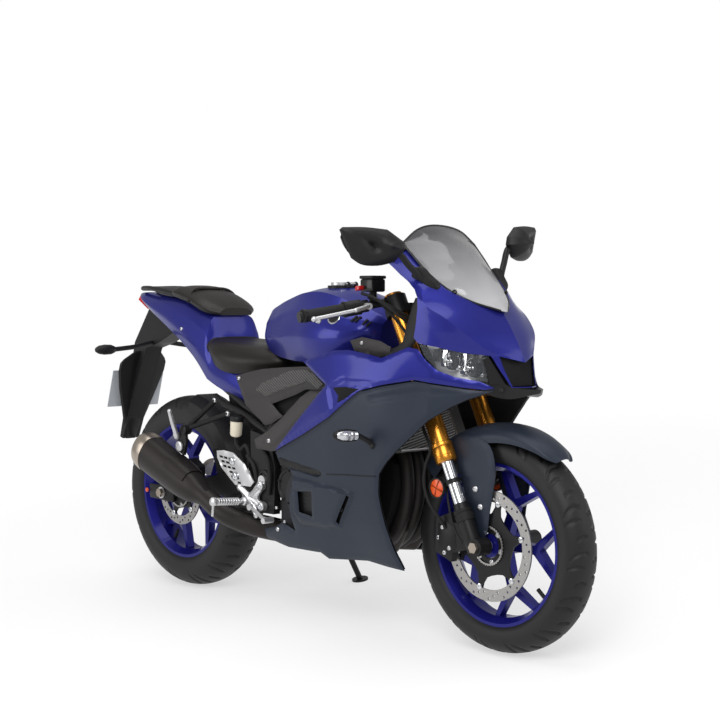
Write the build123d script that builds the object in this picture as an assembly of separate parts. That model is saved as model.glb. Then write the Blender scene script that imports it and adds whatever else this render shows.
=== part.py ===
"""Sport bike of about 250 cm3, as separate solids in one frame.

Everything is drawn with the bike upright: +X forward, +Y to the rider's left, +Z up, the ground at
Z = 0 and the middle of the wheelbase at X = 0.  At the end every solid is leaned to the left, onto
the side stand, and moved so that the origin is the middle of the footprint at ground level.
All sizes are in millimetres and degrees.
"""

from build123d import *
from math import cos, radians, sin
import os

# ---------------------------------------------------------------- driving sizes
WHEELBASE = 1380.0
RAKE = 25.0                # steering axis from the vertical
TRAIL = 95.0
LEAN = 10.5                # to the left, on the side stand

FRONT_TYRE_R = 293.0       # 110/70-17
FRONT_TYRE_W = 110.0
REAR_TYRE_R = 314.0        # 140/70-17
REAR_TYRE_W = 140.0
RIM_BEAD_R = 218.4         # 17 inch bead seat
RIM_FLANGE = 13.0          # flange height above the bead seat
FRONT_RIM_W = 76.0         # 3.00 inch between the flanges
REAR_RIM_W = 102.0         # 4.00 inch
TYRE_WALL = 9.0

FRONT_DISC_R = 149.0
REAR_DISC_R = 110.0
DISC_THICK = 4.5

FORK_SPREAD = 100.0        # leg axis to the bike's middle plane
AXLE_LEAD = 18.0           # front axle ahead of the leg axis
OUTER_TUBE_R = 25.0
INNER_TUBE_R = 18.5
STEM_R = 14.0
AXLE_R = 9.0
RUNNING_FIT = 0.1          # radial clearance of pins and shafts
WALL = 3.5                 # moulded panels
GAP = 0.3                  # seat clearance between pieces that only rest together

# ---------------------------------------------------------------- places worked out from them
FRONT_AXLE = Vector(WHEELBASE / 2, 0, FRONT_TYRE_R)
REAR_AXLE = Vector(-WHEELBASE / 2, 0, REAR_TYRE_R)
UP_AXIS = Vector(-sin(radians(RAKE)), 0, cos(radians(RAKE)))       # along the steering axis
AHEAD = Vector(cos(radians(RAKE)), 0, sin(radians(RAKE)))          # square to it, forward
AXIS_FOOT = Vector(WHEELBASE / 2 + TRAIL, 0, 0)                    # steering axis at the ground
FORK_OFFSET = AHEAD.dot(AXIS_FOOT - FRONT_AXLE)                    # axis to axle, negative: axle ahead
LEG_FOOT = FRONT_AXLE - AHEAD * AXLE_LEAD                          # leg axis beside the axle
PLATE_NORMAL = Vector(-126, 0, 38).normalized()                    # the licence plate's rear face looks this way
PLATE_BOLTS = Vector(-1020, 0, 703) + Vector(-38, 0, -126).normalized() * 15   # middle of its two bolt holes
PLATE_BOLT_SPACING = 140.0
PLATE_BOLT_R = 3.5
OVERHANG_SHIFT = 51.5      # moves the footprint's middle to X = 0
LEAN_SHIFT = -172.8        # moves it to Y = 0 once leaned
SINK = 75.0 * (1 - cos(radians(LEAN)))                             # the round tread rolls down by this


def on_leg(up, side=0.0):
    """A point on a fork leg's axis, `up` millimetres above the axle."""
    return LEG_FOOT + UP_AXIS * up + Vector(0, side * FORK_SPREAD, 0)


def on_axis(height):
    """The point of the steering axis at a height above the ground."""
    return AXIS_FOOT + UP_AXIS * (height / UP_AXIS.Z)


def to_row(point):
    """A point of the upright bike in the finished frame: leaned, then moved."""
    p = Vector(*point).rotate(Axis.X, -LEAN)
    return p + Vector(OVERHANG_SHIFT, LEAN_SHIFT, SINK)


# ---------------------------------------------------------------- drawing helpers
def rod(start, end, radius, inner=0.0):
    """A round bar between two points, or a pipe where `inner` is given."""
    start, end = Vector(*start), Vector(*end)
    plane = Plane(start, z_dir=end - start)
    bar = Solid.make_cylinder(radius, (end - start).length, plane)
    if inner:
        bar = bar - Solid.make_cylinder(inner, (end - start).length, plane)
    return bar


def cone(start, end, r_start, r_end):
    """A tapered bar between two points."""
    start, end = Vector(*start), Vector(*end)
    return Solid.make_cone(r_start, r_end, (end - start).length, Plane(start, z_dir=end - start))


def across(x, z, radius, y0, y1, inner=0.0):
    """A round bar along Y."""
    return rod((x, y0, z), (x, y1, z), radius, inner)


def slab(outline, y0, y1):
    """A plate cut to a side outline of (x, z) points, between two Y planes."""
    wire = Wire.make_polygon([Vector(x, y0, z) for x, z in outline], close=True)
    return Solid.extrude(Face(wire), Vector(0, y1 - y0, 0))


def front_slab(outline, x0, x1):
    """A plate cut to a front outline of (y, z) points, between two X planes."""
    wire = Wire.make_polygon([Vector(x0, y, z) for y, z in outline], close=True)
    return Solid.extrude(Face(wire), Vector(x1 - x0, 0, 0))


def turned(profile, centre):
    """A ring turned about a wheel's axle from (radius, y) points."""
    wire = Wire.make_polygon([Vector(r, y, 0) for r, y in profile], close=True)
    ring = Solid.revolve(Face(wire), 360, Axis.Y)
    return ring.moved(Location(centre))


def both(shape):
    """A piece and its mirror image across the middle plane."""
    return Compound([shape, mirror(shape, Plane.XZ)])


def hull_loft(sections, ruled=False):
    """A closed body through wires."""
    return Solid.make_loft(sections, ruled)


def polygon(points):
    """A closed wire through points."""
    return Wire.make_polygon([Vector(*p) for p in points], close=True)


def join(*shapes):
    """Solids fused to one body."""
    body = shapes[0]
    for s in shapes[1:]:
        body = body + s
    return body


def less(shape, *cutters):
    """A body with other bodies taken out of it."""
    for c in cutters:
        shape = shape - c
    return shape


def biggest(shape):
    """The largest solid of a shape, without the slivers a cut leaves."""
    return max(shape.solids(), key=lambda s: s.volume)


NODES = {}


def keep(name, shape):
    """Files a finished piece under its node's name."""
    NODES[name] = shape
    return shape


# ---------------------------------------------------------------- wheels
SPOKES = 5
SPOKE_ROOT_W = 30.0        # single arm at the hub
SPOKE_FORK_R = 128.0       # where the arm splits in two
SPOKE_TIP_W = 13.0
SPOKE_SPLAY = 20.5         # each tip, in degrees from the arm
SPOKE_DEPTH = 26.0
SPOKE_PHASE_FRONT = 20.7   # how far the first arm leans forward from the top, in degrees
SPOKE_PHASE_REAR = 66.0
BARREL_R = 204.0


def tyre(centre, radius, width, rim_width):
    """A tubeless tyre: a round crown, bulging sidewalls and two beads on the rim's seats."""
    bead_y = rim_width / 2
    bead_top = RIM_BEAD_R + RIM_FLANGE + 2
    shoulder_r = radius - 0.27 * width
    crown_y = 0.46 * width
    inner_r = radius - TYRE_WALL

    def edge(*pts):
        return [Vector(r, y, 0) for r, y in pts]

    outside = Wire([
        ThreePointArc(*edge((shoulder_r, -crown_y), (radius, 0), (shoulder_r, crown_y))).edge(),
        ThreePointArc(*edge((shoulder_r, crown_y), ((shoulder_r + bead_top) / 2, width / 2),
                            (bead_top, bead_y + 3))).edge(),
        Edge.make_line(*edge((bead_top, bead_y + 3), (bead_top, bead_y))),
        Edge.make_line(*edge((bead_top, bead_y), (RIM_BEAD_R, bead_y))),
        Edge.make_line(*edge((RIM_BEAD_R, bead_y), (RIM_BEAD_R, bead_y - 12))),
        ThreePointArc(*edge((RIM_BEAD_R, bead_y - 12),
                            ((shoulder_r + bead_top) / 2, width / 2 - TYRE_WALL),
                            (shoulder_r, crown_y - TYRE_WALL))).edge(),
        ThreePointArc(*edge((shoulder_r, crown_y - TYRE_WALL), (inner_r, 0),
                            (shoulder_r, TYRE_WALL - crown_y))).edge(),
        ThreePointArc(*edge((shoulder_r, TYRE_WALL - crown_y),
                            ((shoulder_r + bead_top) / 2, TYRE_WALL - width / 2),
                            (RIM_BEAD_R, 12 - bead_y))).edge(),
        Edge.make_line(*edge((RIM_BEAD_R, 12 - bead_y), (RIM_BEAD_R, -bead_y))),
        Edge.make_line(*edge((RIM_BEAD_R, -bead_y), (bead_top, -bead_y))),
        Edge.make_line(*edge((bead_top, -bead_y), (bead_top, -bead_y - 3))),
        ThreePointArc(*edge((bead_top, -bead_y - 3), ((shoulder_r + bead_top) / 2, -width / 2),
                            (shoulder_r, -crown_y))).edge(),
    ])
    return Solid.revolve(Face(outside), 360, Axis.Y).moved(Location(centre))


def spoke_outline(hub_r, tip_r, sign):
    """One half of a forked spoke as (x, z) points: the arm, the crotch and one branch."""
    a = radians(SPOKE_SPLAY) * sign
    tip = Vector(tip_r * sin(a), tip_r * cos(a))
    root = SPOKE_ROOT_W / 2
    fork = Vector(0, SPOKE_FORK_R)
    along = (tip - fork).normalized()
    side = Vector(along.Y, -along.X) * sign
    outer = tip + side * SPOKE_TIP_W / 2
    inner = tip - side * SPOKE_TIP_W / 2
    return [
        (-root * sign, hub_r), (root * sign, hub_r), (root * 0.8 * sign, SPOKE_FORK_R - 16),
        (outer.X, outer.Y), (inner.X, inner.Y), (0, SPOKE_FORK_R + 4), (-root * 0.8 * sign, SPOKE_FORK_R - 16),
    ]


def rim(centre, rim_width, hub_r, hub_half, bore_r, phase):
    """A cast wheel: barrel with bead seats and flanges, forked spokes and a bored hub."""
    w = rim_width / 2
    top = RIM_BEAD_R + RIM_FLANGE
    barrel = turned([
        (RIM_BEAD_R, -w), (top, -w), (top, -w - 6), (RIM_BEAD_R - 8, -w - 6),
        (BARREL_R - 8, -w + 18), (BARREL_R - 8, w - 18), (RIM_BEAD_R - 8, w + 6),
        (top, w + 6), (top, w), (RIM_BEAD_R, w), (RIM_BEAD_R, w - 14), (BARREL_R, w - 24),
        (BARREL_R, 24 - w), (RIM_BEAD_R, 14 - w),
    ], (0, 0, 0))
    hub = rod((0, -hub_half, 0), (0, hub_half, 0), hub_r)
    star = None
    for k in range(SPOKES):
        for sign in (-1, 1):
            arm = slab(spoke_outline(hub_r * 0.7, BARREL_R - 4, sign),
                       -SPOKE_DEPTH / 2, SPOKE_DEPTH / 2).rotate(Axis.Y, phase + k * 360 / SPOKES)
            star = arm if star is None else star + arm
    wheel = hub + star + barrel
    wheel = wheel - rod((0, -hub_half, 0), (0, hub_half, 0), bore_r)
    return wheel.moved(Location(centre))


def disc(centre, y, radius, band, holes, carrier_r, arms):
    """A drilled brake disc on a spider carrier, at a Y plane."""
    ring = Circle(radius) - Circle(radius - band)
    for k in range(holes):
        a = radians(k * 360 / holes)
        r = radius - band * (0.25, 0.5, 0.75)[k % 3]
        ring = ring - Pos(r * cos(a), r * sin(a)) * Circle(3.2)
    spider = Circle(carrier_r + 14) - Circle(carrier_r)
    for k in range(arms):
        spider = spider + Rot(0, 0, k * 360 / arms) * (
            Pos((carrier_r + radius - band) / 2 + 4, 0) * Rectangle(radius - band - carrier_r + 14, 16))
    face = ring + spider
    plate = extrude(Plane(Vector(0, y, 0), z_dir=(0, 1, 0)) * face, DISC_THICK / 2, both=True)
    return plate.moved(Location(centre))


FRONT_HUB_R = 32.0
FRONT_HUB_HALF = 61.0
FRONT_DISC_Y = -63.25
REAR_HUB_R = 44.0
REAR_HUB_HALF = 62.0
REAR_DISC_Y = -64.25
SPROCKET_R = 88.0
CHAIN_Y = 84.0


def front_wheel():
    """Tyre, cast rim and drilled disc, which turn about the front axle."""
    keep("front_tyre", tyre(FRONT_AXLE, FRONT_TYRE_R, FRONT_TYRE_W, FRONT_RIM_W))
    keep("front_rim", rim(FRONT_AXLE, FRONT_RIM_W, FRONT_HUB_R, FRONT_HUB_HALF, AXLE_R + RUNNING_FIT,
                          SPOKE_PHASE_FRONT))
    keep("front_disc", disc(FRONT_AXLE, FRONT_DISC_Y, FRONT_DISC_R, 31.0, 48, 22.0, 6))


def rear_wheel():
    """Tyre, cast rim, drilled disc and chain sprocket, which turn about the rear axle."""
    keep("rear_tyre", tyre(REAR_AXLE, REAR_TYRE_R, REAR_TYRE_W, REAR_RIM_W))
    keep("rear_rim", rim(REAR_AXLE, REAR_RIM_W, REAR_HUB_R, REAR_HUB_HALF, AXLE_R + RUNNING_FIT,
                         SPOKE_PHASE_REAR))
    keep("rear_disc", disc(REAR_AXLE, REAR_DISC_Y, REAR_DISC_R, 28.0, 36, 24.0, 5))
    teeth = 43
    blank = Circle(SPROCKET_R) - Circle(REAR_HUB_R + 6)
    for k in range(teeth):
        blank = blank - Rot(0, 0, k * 360 / teeth) * (Pos(SPROCKET_R + 1.5, 0) * Circle(4.6))
    for k in range(6):
        blank = blank - Rot(0, 0, k * 60) * (Pos(67, 0) * Circle(9))
    plate = extrude(Plane(Vector(0, CHAIN_Y, 0), z_dir=(0, 1, 0)) * blank, 3, both=True)
    cush = rod((0, REAR_HUB_HALF + 2, 0), (0, CHAIN_Y + 3, 0), REAR_HUB_R + 6, AXLE_R + RUNNING_FIT)
    keep("rear_sprocket", (plate + cush).moved(Location(REAR_AXLE)))


front_wheel()
rear_wheel()


# ---------------------------------------------------------------- steering: fork, bars, front fender
BOTTOM_CLAMP = (448.0, 482.0)      # heights up the legs, from the axle
TOP_CLAMP = (680.0, 702.0)
OUTER_LOW = 255.0
OUTER_TOP = 742.0
COLLAR_R = 28.5
FOOT_R = 22.5
BAR_R = 11.0
GRIP_R = 17.0
BAR_END = Vector(279, -350, 900)
GRIP_LENGTH = 118.0
FENDER_GAP = 14.0                  # fender to tread


def clamp_plate(up, thick, bores):
    """A fork clamp: a plate round both legs and the stem, square to the steering axis."""
    plane = Plane(on_leg(up), x_dir=(0, 1, 0), z_dir=UP_AXIS)
    stem_back = -(FORK_OFFSET + AXLE_LEAD)
    rings = (Pos(-FORK_SPREAD, 0) * Circle(36)).edges() + (Pos(FORK_SPREAD, 0) * Circle(36)).edges()
    rings = rings + (Pos(0, stem_back) * Circle(30)).edges()
    plate = extrude(plane * make_hull(rings), thick)
    return less(plate, *bores)


def fork():
    """Both legs, the two clamps with the stem, and the front axle."""
    outer, inner, foot = [], [], []
    for side in (-1, 1):
        tube = rod(on_leg(OUTER_LOW, side), on_leg(OUTER_TOP, side), OUTER_TUBE_R)
        collar = rod(on_leg(OUTER_LOW, side), on_leg(OUTER_LOW + 24, side), COLLAR_R)
        slider = rod(on_leg(40, side), on_leg(OUTER_LOW, side), INNER_TUBE_R)
        shoe = join(rod(on_leg(-8, side), on_leg(112, side), FOOT_R),
                    cone(on_leg(112, side), on_leg(128, side), FOOT_R, INNER_TUBE_R + 1.5),
                    rod(FRONT_AXLE + Vector(0, side * (FORK_SPREAD - 22), 0),
                        FRONT_AXLE + Vector(0, side * (FORK_SPREAD + 22), 0), 24))
        shoe = less(shoe, slider, across(FRONT_AXLE.X, FRONT_AXLE.Z, AXLE_R, -140, 140))
        outer.append(tube + collar)
        inner.append(slider)
        foot.append(shoe)
    keep("fork_outer_tubes", Compound(outer))
    keep("fork_inner_tubes", Compound(inner))
    keep("fork_feet", Compound(foot))
    low_z, top_z = on_leg(BOTTOM_CLAMP[0]).Z, on_leg(TOP_CLAMP[1]).Z
    stem = rod(on_axis(low_z - 10), on_axis(top_z + 4), STEM_R)
    low = clamp_plate(BOTTOM_CLAMP[0], BOTTOM_CLAMP[1] - BOTTOM_CLAMP[0], outer)
    top = clamp_plate(TOP_CLAMP[0], TOP_CLAMP[1] - TOP_CLAMP[0], outer)
    keep("fork_clamps", join(low, stem, top))
    y = FORK_SPREAD + 28
    axle = join(across(FRONT_AXLE.X, FRONT_AXLE.Z, AXLE_R, -y, y),
                across(FRONT_AXLE.X, FRONT_AXLE.Z, 13, -y, -FORK_SPREAD - 22),
                across(FRONT_AXLE.X, FRONT_AXLE.Z, 13, FORK_SPREAD + 22, y),
                across(FRONT_AXLE.X, FRONT_AXLE.Z, 15, -FORK_SPREAD + 22, FRONT_DISC_Y - 3),
                across(FRONT_AXLE.X, FRONT_AXLE.Z, 15, FRONT_HUB_HALF + 1, FORK_SPREAD - 22))
    keep("front_axle", less(axle, *foot))


def handlebars():
    """Clip-on bars, grips with end weights, switch boxes, levers and the brake reservoir."""
    root = on_leg(TOP_CLAMP[1] + 22, -1)
    along = (BAR_END - root).normalized()
    length = (BAR_END - root).length
    grip_start = length - GRIP_LENGTH
    ahead = Vector(-along.Y, along.X, 0).normalized()
    if ahead.X < 0:
        ahead = ahead * -1

    def at(distance):
        """A point of the right bar's axis."""
        return root + along * distance

    tube = rod(on_leg(OUTER_LOW, -1), on_leg(OUTER_TOP, -1), OUTER_TUBE_R)
    bar = rod(at(20), at(length - 2), BAR_R)
    ring = rod(on_leg(TOP_CLAMP[1] + GAP, -1), on_leg(TOP_CLAMP[1] + 32, -1), 34)
    weight = rod(at(length), at(length + 20), GRIP_R - 2)
    keep("clip_on_bars", both(less(join(ring, bar, rod(at(length - 3), at(length), BAR_R), weight), tube)))
    grip = join(rod(at(grip_start), at(length), GRIP_R), rod(at(grip_start), at(grip_start + 6), GRIP_R + 5))
    keep("grips", both(less(grip, rod(at(20), at(length), BAR_R))))
    box = rod(at(grip_start - 44), at(grip_start - 1), 21)
    holder = rod(at(grip_start - 66), at(grip_start - 45), 17)
    boxes = less(join(box, holder, rod(at(grip_start - 50), at(grip_start - 40), 15)), bar)
    keep("switch_boxes", both(boxes))
    perch = at(grip_start - 56)
    pivot = perch + ahead * 34
    tip = at(length - 4) + ahead * 52 - Vector(0, 0, 8)
    knee = at(grip_start - 10) + ahead * 50 - Vector(0, 0, 4)
    lever = join(rod(pivot, knee, 6.5), rod(knee, tip, 5.5), Solid.make_sphere(7.5).moved(Location(tip)),
                 Solid.make_sphere(6.5).moved(Location(knee)),
                 rod(perch + ahead * 10, pivot + ahead * 5, 9))
    keep("hand_levers", both(less(lever, boxes, box, bar)))
    pot = at(56) + ahead * 4
    master = join(rod(pot + Vector(0, 0, 28), pot + Vector(0, 0, 66), 22),
                  rod(pot + Vector(0, 0, 66), pot + Vector(0, 0, 73), 24),
                  rod(pot, pot + Vector(0, 0, 29), 9),
                  rod(at(50) + ahead * 22, at(88) + ahead * 22, 10),
                  rod(at(56) + ahead * 4, at(56) + ahead * 22, 9))
    keep("brake_master", less(master, box, holder, bar, NODES["hand_levers"], NODES["clip_on_bars"]))


def front_fender():
    """Close-fitting fender: a curved shell over the tyre with a blade down each leg."""
    r_in = FRONT_TYRE_R + FENDER_GAP
    half = FRONT_TYRE_W / 2 + 9
    shell = turned([(r_in - 62, half + 2), (r_in - 62, half + 2 + WALL), (r_in - 30, half + WALL),
                    (r_in - 2, half * 0.72 + WALL), (r_in + WALL, half * 0.3), (r_in + WALL, -half * 0.3),
                    (r_in - 2, -half * 0.72 - WALL), (r_in - 30, -half - WALL),
                    (r_in - 62, -half - 2 - WALL), (r_in - 62, -half - 2), (r_in - 30, -half),
                    (r_in - 4, -half * 0.72), (r_in, -half * 0.3), (r_in, half * 0.3),
                    (r_in - 4, half * 0.72), (r_in - 30, half)], FRONT_AXLE)
    crown = shell & slab([(893, 534), (907, 548), (860, 660), (700, 720), (540, 660), (440, 560),
                          (392, 430), (425, 412), (520, 520), (600, 560), (700, 556), (800, 540)], -120, 120)
    y_in = -FRONT_DISC_Y + 9
    arch = crown
    for side in (-1, 1):
        blade = slab([(575, 560), (690, 552), (700, 470), (690, 380), (672, 312), (652, 316),
                      (632, 380), (590, 480)], side * y_in, side * (y_in + WALL))
        arch = join(arch, blade, slab([(590, 566), (680, 560), (676, 532), (600, 535)],
                                      side * (half - 1), side * (y_in + WALL)),
                    slab([(610, 372), (650, 372), (650, 388), (610, 388)], side * y_in, side * (y_in + 14)))
    keep("front_fender", less(arch, NODES["fork_outer_tubes"], NODES["fork_inner_tubes"], NODES["fork_feet"]))


def front_brake():
    """Two-piston caliper behind the right leg, and the reflectors on both legs."""
    cx, cz = FRONT_AXLE.X - 126, FRONT_AXLE.Z + 12
    body = slab([(cx - 46, cz - 44), (cx + 14, cz - 66), (cx + 38, cz + 26), (cx + 6, cz + 66),
                 (cx - 42, cz + 46)], FRONT_DISC_Y - 30, FRONT_DISC_Y + 22)
    slot = turned([(0, FRONT_DISC_Y - 7.5), (FRONT_DISC_R + 5, FRONT_DISC_Y - 7.5),
                   (FRONT_DISC_R + 5, FRONT_DISC_Y + 7.5), (0, FRONT_DISC_Y + 7.5)], FRONT_AXLE)
    lug = slab([(cx + 10, cz - 44), (FRONT_AXLE.X - 44, cz - 24), (FRONT_AXLE.X - 62, cz + 44),
                (cx + 10, cz + 40)], FRONT_DISC_Y - 30, FRONT_DISC_Y - 14)
    keep("front_caliper", less(join(body, lug), slot, NODES["fork_feet"], NODES["fork_inner_tubes"],
                               NODES["front_axle"]))
    centre = on_leg(190, -1) - AHEAD * 46 - Vector(0, 16, 0)
    stay = join(rod(on_leg(190, -1) - AHEAD * INNER_TUBE_R, centre + Vector(0, 16, 0), 5),
                rod(centre + Vector(0, 2, 0), centre + Vector(0, 20, 0), 12),
                rod(on_leg(184, -1), on_leg(196, -1), INNER_TUBE_R + 4))
    stay = less(stay, NODES["fork_inner_tubes"])
    keep("fork_feet", Compound(NODES["fork_feet"].solids() + both(stay).solids()))
    keep("reflectors", both(rod(centre + Vector(0, 2, 0), centre - Vector(0, 8, 0), 24)))


fork()
handlebars()
front_fender()
front_brake()


# ---------------------------------------------------------------- chassis: frame, engine, drive
SWING_PIVOT = (-158.0, 400.0)      # x, z
PLATE_Y = (118.0, 142.0)           # pivot plates
ARM_Y = (96.0, 117.5)              # swingarm arms
FRONT_SPROCKET = (-72.0, 400.0)
ENGINE_Y = 125.0
SPAR_R = 17.0
RAIL_R = 10.0


def on_stem(up):
    """A point of the steering axis beside a height up the legs."""
    return on_leg(up) - AHEAD * -(FORK_OFFSET + AXLE_LEAD)


def pipe_run(points, radius):
    """Straight round tubes through points, with ball corners."""
    run = None
    for a, b in zip(points, points[1:]):
        piece = rod(a, b, radius)
        run = piece if run is None else run + piece
    for p in points[1:-1]:
        run = run + Solid.make_sphere(radius).moved(Location(p))
    return run


def mirrored(points):
    """The same points on the other side."""
    return [(x, -y, z) for x, y, z in points]


def two_sides(points, radius):
    """A tube run and its mirror image, fused."""
    return join(pipe_run(points, radius), pipe_run(mirrored(points), radius))


def frame_pieces():
    """Main frame, seat rails and cowl stay."""
    head = rod(on_stem(485), on_stem(677), 30)
    spar = two_sides([(396, -18, 826), (288, -80, 776), (105, -136, 696), (-122, -130, 566), (-165, -130, 500)],
                     SPAR_R)
    lower = two_sides([(436, -14, 745), (320, -62, 708), (110, -134, 690)], 13)
    plates = None
    for side in (-1, 1):
        plate = slab([(-222, 548), (-128, 530), (-104, 440), (-111, 302), (-186, 301), (-218, 400)],
                     side * PLATE_Y[0], side * PLATE_Y[1])
        plates = plate if plates is None else plates + plate
    for side in (-1, 1):
        for z in (316, 418):
            plates = plates + slab([(-120, z), (-96, z), (-96, z + 24), (-120, z + 24)], side * PLATE_Y[0],
                                   side * (ENGINE_Y - 1))
    braces = join(across(-196, 520, 14, -PLATE_Y[0] - 4, PLATE_Y[0] + 4),
                  across(-150, 316, 12, -PLATE_Y[0] - 4, PLATE_Y[0] + 4))
    frame = join(head, spar, lower, plates, braces)
    frame = less(frame, rod(on_stem(440), on_stem(720), STEM_R + RUNNING_FIT),
                 across(*SWING_PIVOT, 10, -160, 160))
    keep("main_frame", frame)
    rails = join(two_sides([(-140, -124, 570), (-283, -112, 618), (-404, -98, 668), (-640, -70, 822),
                            (-800, -50, 905)], RAIL_R),
                 two_sides([(60, -128, 700), (-190, -96, 712), (-400, -97, 674)], RAIL_R),
                 across(-404, 668, 9, -98, 98), across(-640, 822, 9, -70, 70), across(-265, 640, 12, -108, 108),
                 two_sides([(-265, -104, 640), (-283, -110, 618)], 10))
    keep("main_frame", join(frame, less(rails, frame)))
    stay = join(pipe_run([(436, 0, 786), (590, 0, 850), (522, 0, 985)], 9),
                across(590, 850, 8, -165, 165))
    keep("cowl_stay", less(stay, frame))
    bolt = join(across(*SWING_PIVOT, 10, -148, 148), across(*SWING_PIVOT, 16, -152, -PLATE_Y[1]),
                across(*SWING_PIVOT, 16, PLATE_Y[1], 152))
    keep("chassis_axles", bolt)


def drive():
    """Swingarm, chain, guard, shock, rear axle, caliper and hugger."""
    arm = None
    for side in (-1, 1):
        a = slab([(-132, 424), (-400, 398), (-640, 348), (-742, 338), (-742, 290), (-640, 288),
                  (-400, 332), (-134, 376)], side * ARM_Y[0], side * ARM_Y[1])
        arm = a if arm is None else arm + a
    cross = slab([(-196, 396), (-348, 384), (-352, 354), (-196, 366)], -ARM_Y[0] - 1, ARM_Y[0] + 1)
    tube = across(*SWING_PIVOT, 22, -ARM_Y[0] - 1, 62)
    web = slab([(-150, 396), (-200, 396), (-200, 366), (-150, 380)], -60, 60)
    arm = join(arm, cross, tube, web)
    arm = less(arm, across(*SWING_PIVOT, 10, -160, 160), across(REAR_AXLE.X, REAR_AXLE.Z, AXLE_R, -150, 150))
    keep("swingarm", arm)

    def loop(front_r, rear_r, y0, y1):
        rings = Pos(FRONT_SPROCKET[0], FRONT_SPROCKET[1]) * Circle(front_r)
        rings = rings.edges() + (Pos(REAR_AXLE.X, REAR_AXLE.Z) * Circle(rear_r)).edges()
        face = make_hull(rings)
        plane = Plane((0, y1, 0), x_dir=(1, 0, 0), z_dir=(0, -1, 0))
        return extrude(plane * face, y1 - y0)

    chain = less(loop(39, SPROCKET_R + 11, CHAIN_Y - 7, CHAIN_Y + 7),
                 loop(29.5, SPROCKET_R + 1.5, CHAIN_Y - 8, CHAIN_Y + 8))
    keep("drive_chain", chain)
    room = loop(44, SPROCKET_R + 16, CHAIN_Y - 12, CHAIN_Y + 12)
    guard = join(slab([(-340, 446), (-660, 424), (-700, 426), (-700, 430), (-660, 428), (-340, 450)], 76, 101),
                 slab([(-340, 428), (-660, 408), (-700, 412), (-700, 430), (-660, 428), (-340, 450)], 98, 101),
                 slab([(-390, 395), (-420, 392), (-420, 440), (-390, 442)], 98, 104),
                 slab([(-600, 352), (-630, 346), (-630, 425), (-600, 427)], 98, 104))
    guard = less(guard, arm)
    spring = join(rod((-262, 0, 391), (-258, 0, 420), 16), rod((-258, 0, 418), (-232, 0, 606), 20),
                  rod((-256, 0, 436), (-234, 0, 586), 31), rod((-234, -16, 612), (-234, 16, 612), 16),
                  rod((-234, 0, 600), (-234, 0, 612), 12))
    spring = keep("shock_absorber", less(spring, arm, NODES["main_frame"]))
    tab = slab([(-254, 600), (-218, 600), (-240, 634), (-276, 634)], 16.2, 24)
    keep("main_frame", join(NODES["main_frame"], less(tab, spring), less(mirror(tab, Plane.XZ), spring)))
    y = ARM_Y[1] + 14
    axle = join(across(REAR_AXLE.X, REAR_AXLE.Z, AXLE_R, -y, y),
                across(REAR_AXLE.X, REAR_AXLE.Z, 16, -y + 2, -ARM_Y[1]),
                across(REAR_AXLE.X, REAR_AXLE.Z, 16, ARM_Y[1], y - 2),
                across(REAR_AXLE.X, REAR_AXLE.Z, 14, -ARM_Y[0], REAR_DISC_Y - 3.5),
                across(REAR_AXLE.X, REAR_AXLE.Z, 14, CHAIN_Y + 4, ARM_Y[0]))
    keep("chassis_axles", Compound(NODES["chassis_axles"].solids() + [less(axle, arm)]))
    cx, cz = REAR_AXLE.X + 74, REAR_AXLE.Z + 62
    body = slab([(cx - 42, cz + 38), (cx - 2, cz - 26), (cx + 34, cz - 18), (cx + 36, cz + 26), (cx - 4, cz + 52)],
                REAR_DISC_Y - 24, REAR_DISC_Y + 20)
    slot = turned([(0, REAR_DISC_Y - 7.5), (REAR_DISC_R + 5, REAR_DISC_Y - 7.5),
                   (REAR_DISC_R + 5, REAR_DISC_Y + 7.5), (0, REAR_DISC_Y + 7.5)], REAR_AXLE)
    lug = slab([(cx - 20, cz + 8), (cx - 20, cz - 40), (cx + 20, cz - 40), (cx + 20, cz + 8)],
               -ARM_Y[0], REAR_DISC_Y - 14)
    keep("rear_caliper", less(join(body, lug), slot, arm))
    r_in = REAR_TYRE_R + 9
    half = REAR_TYRE_W / 2 + 7
    shell = turned([(r_in - 50, half), (r_in - 50, half + WALL), (r_in - 18, half - 4), (r_in + WALL, half * 0.5),
                    (r_in + WALL, -half * 0.5), (r_in - 18, 4 - half), (r_in - 50, -half - WALL), (r_in - 50, -half),
                    (r_in - 20, 8 - half), (r_in, -half * 0.5), (r_in, half * 0.5), (r_in - 20, half - 8)],
                   REAR_AXLE)
    hug = shell & slab([(-330, 380), (-300, 700), (-640, 700), (-622, 560), (-480, 500), (-420, 372)], -120, 120)
    feet = None
    for side in (-1, 1):
        foot = slab([(-408, 396), (-438, 390), (-462, 470), (-420, 470)], side * (half - 1), side * (half + 26))
        feet = foot if feet is None else feet + foot
    inner = turned([(0, -half), (r_in - 20, -half), (r_in - 10, -half * 0.8), (r_in - 10, half * 0.8),
                    (r_in - 20, half), (0, half)], REAR_AXLE)
    hug = less(join(hug, less(feet, inner)), arm, room)
    tie = slab([(-430, 432), (-446, 432), (-446, 446), (-430, 446)], 78, 84)
    keep("rear_guards", join(hug, guard, less(tie, room)))


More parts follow.
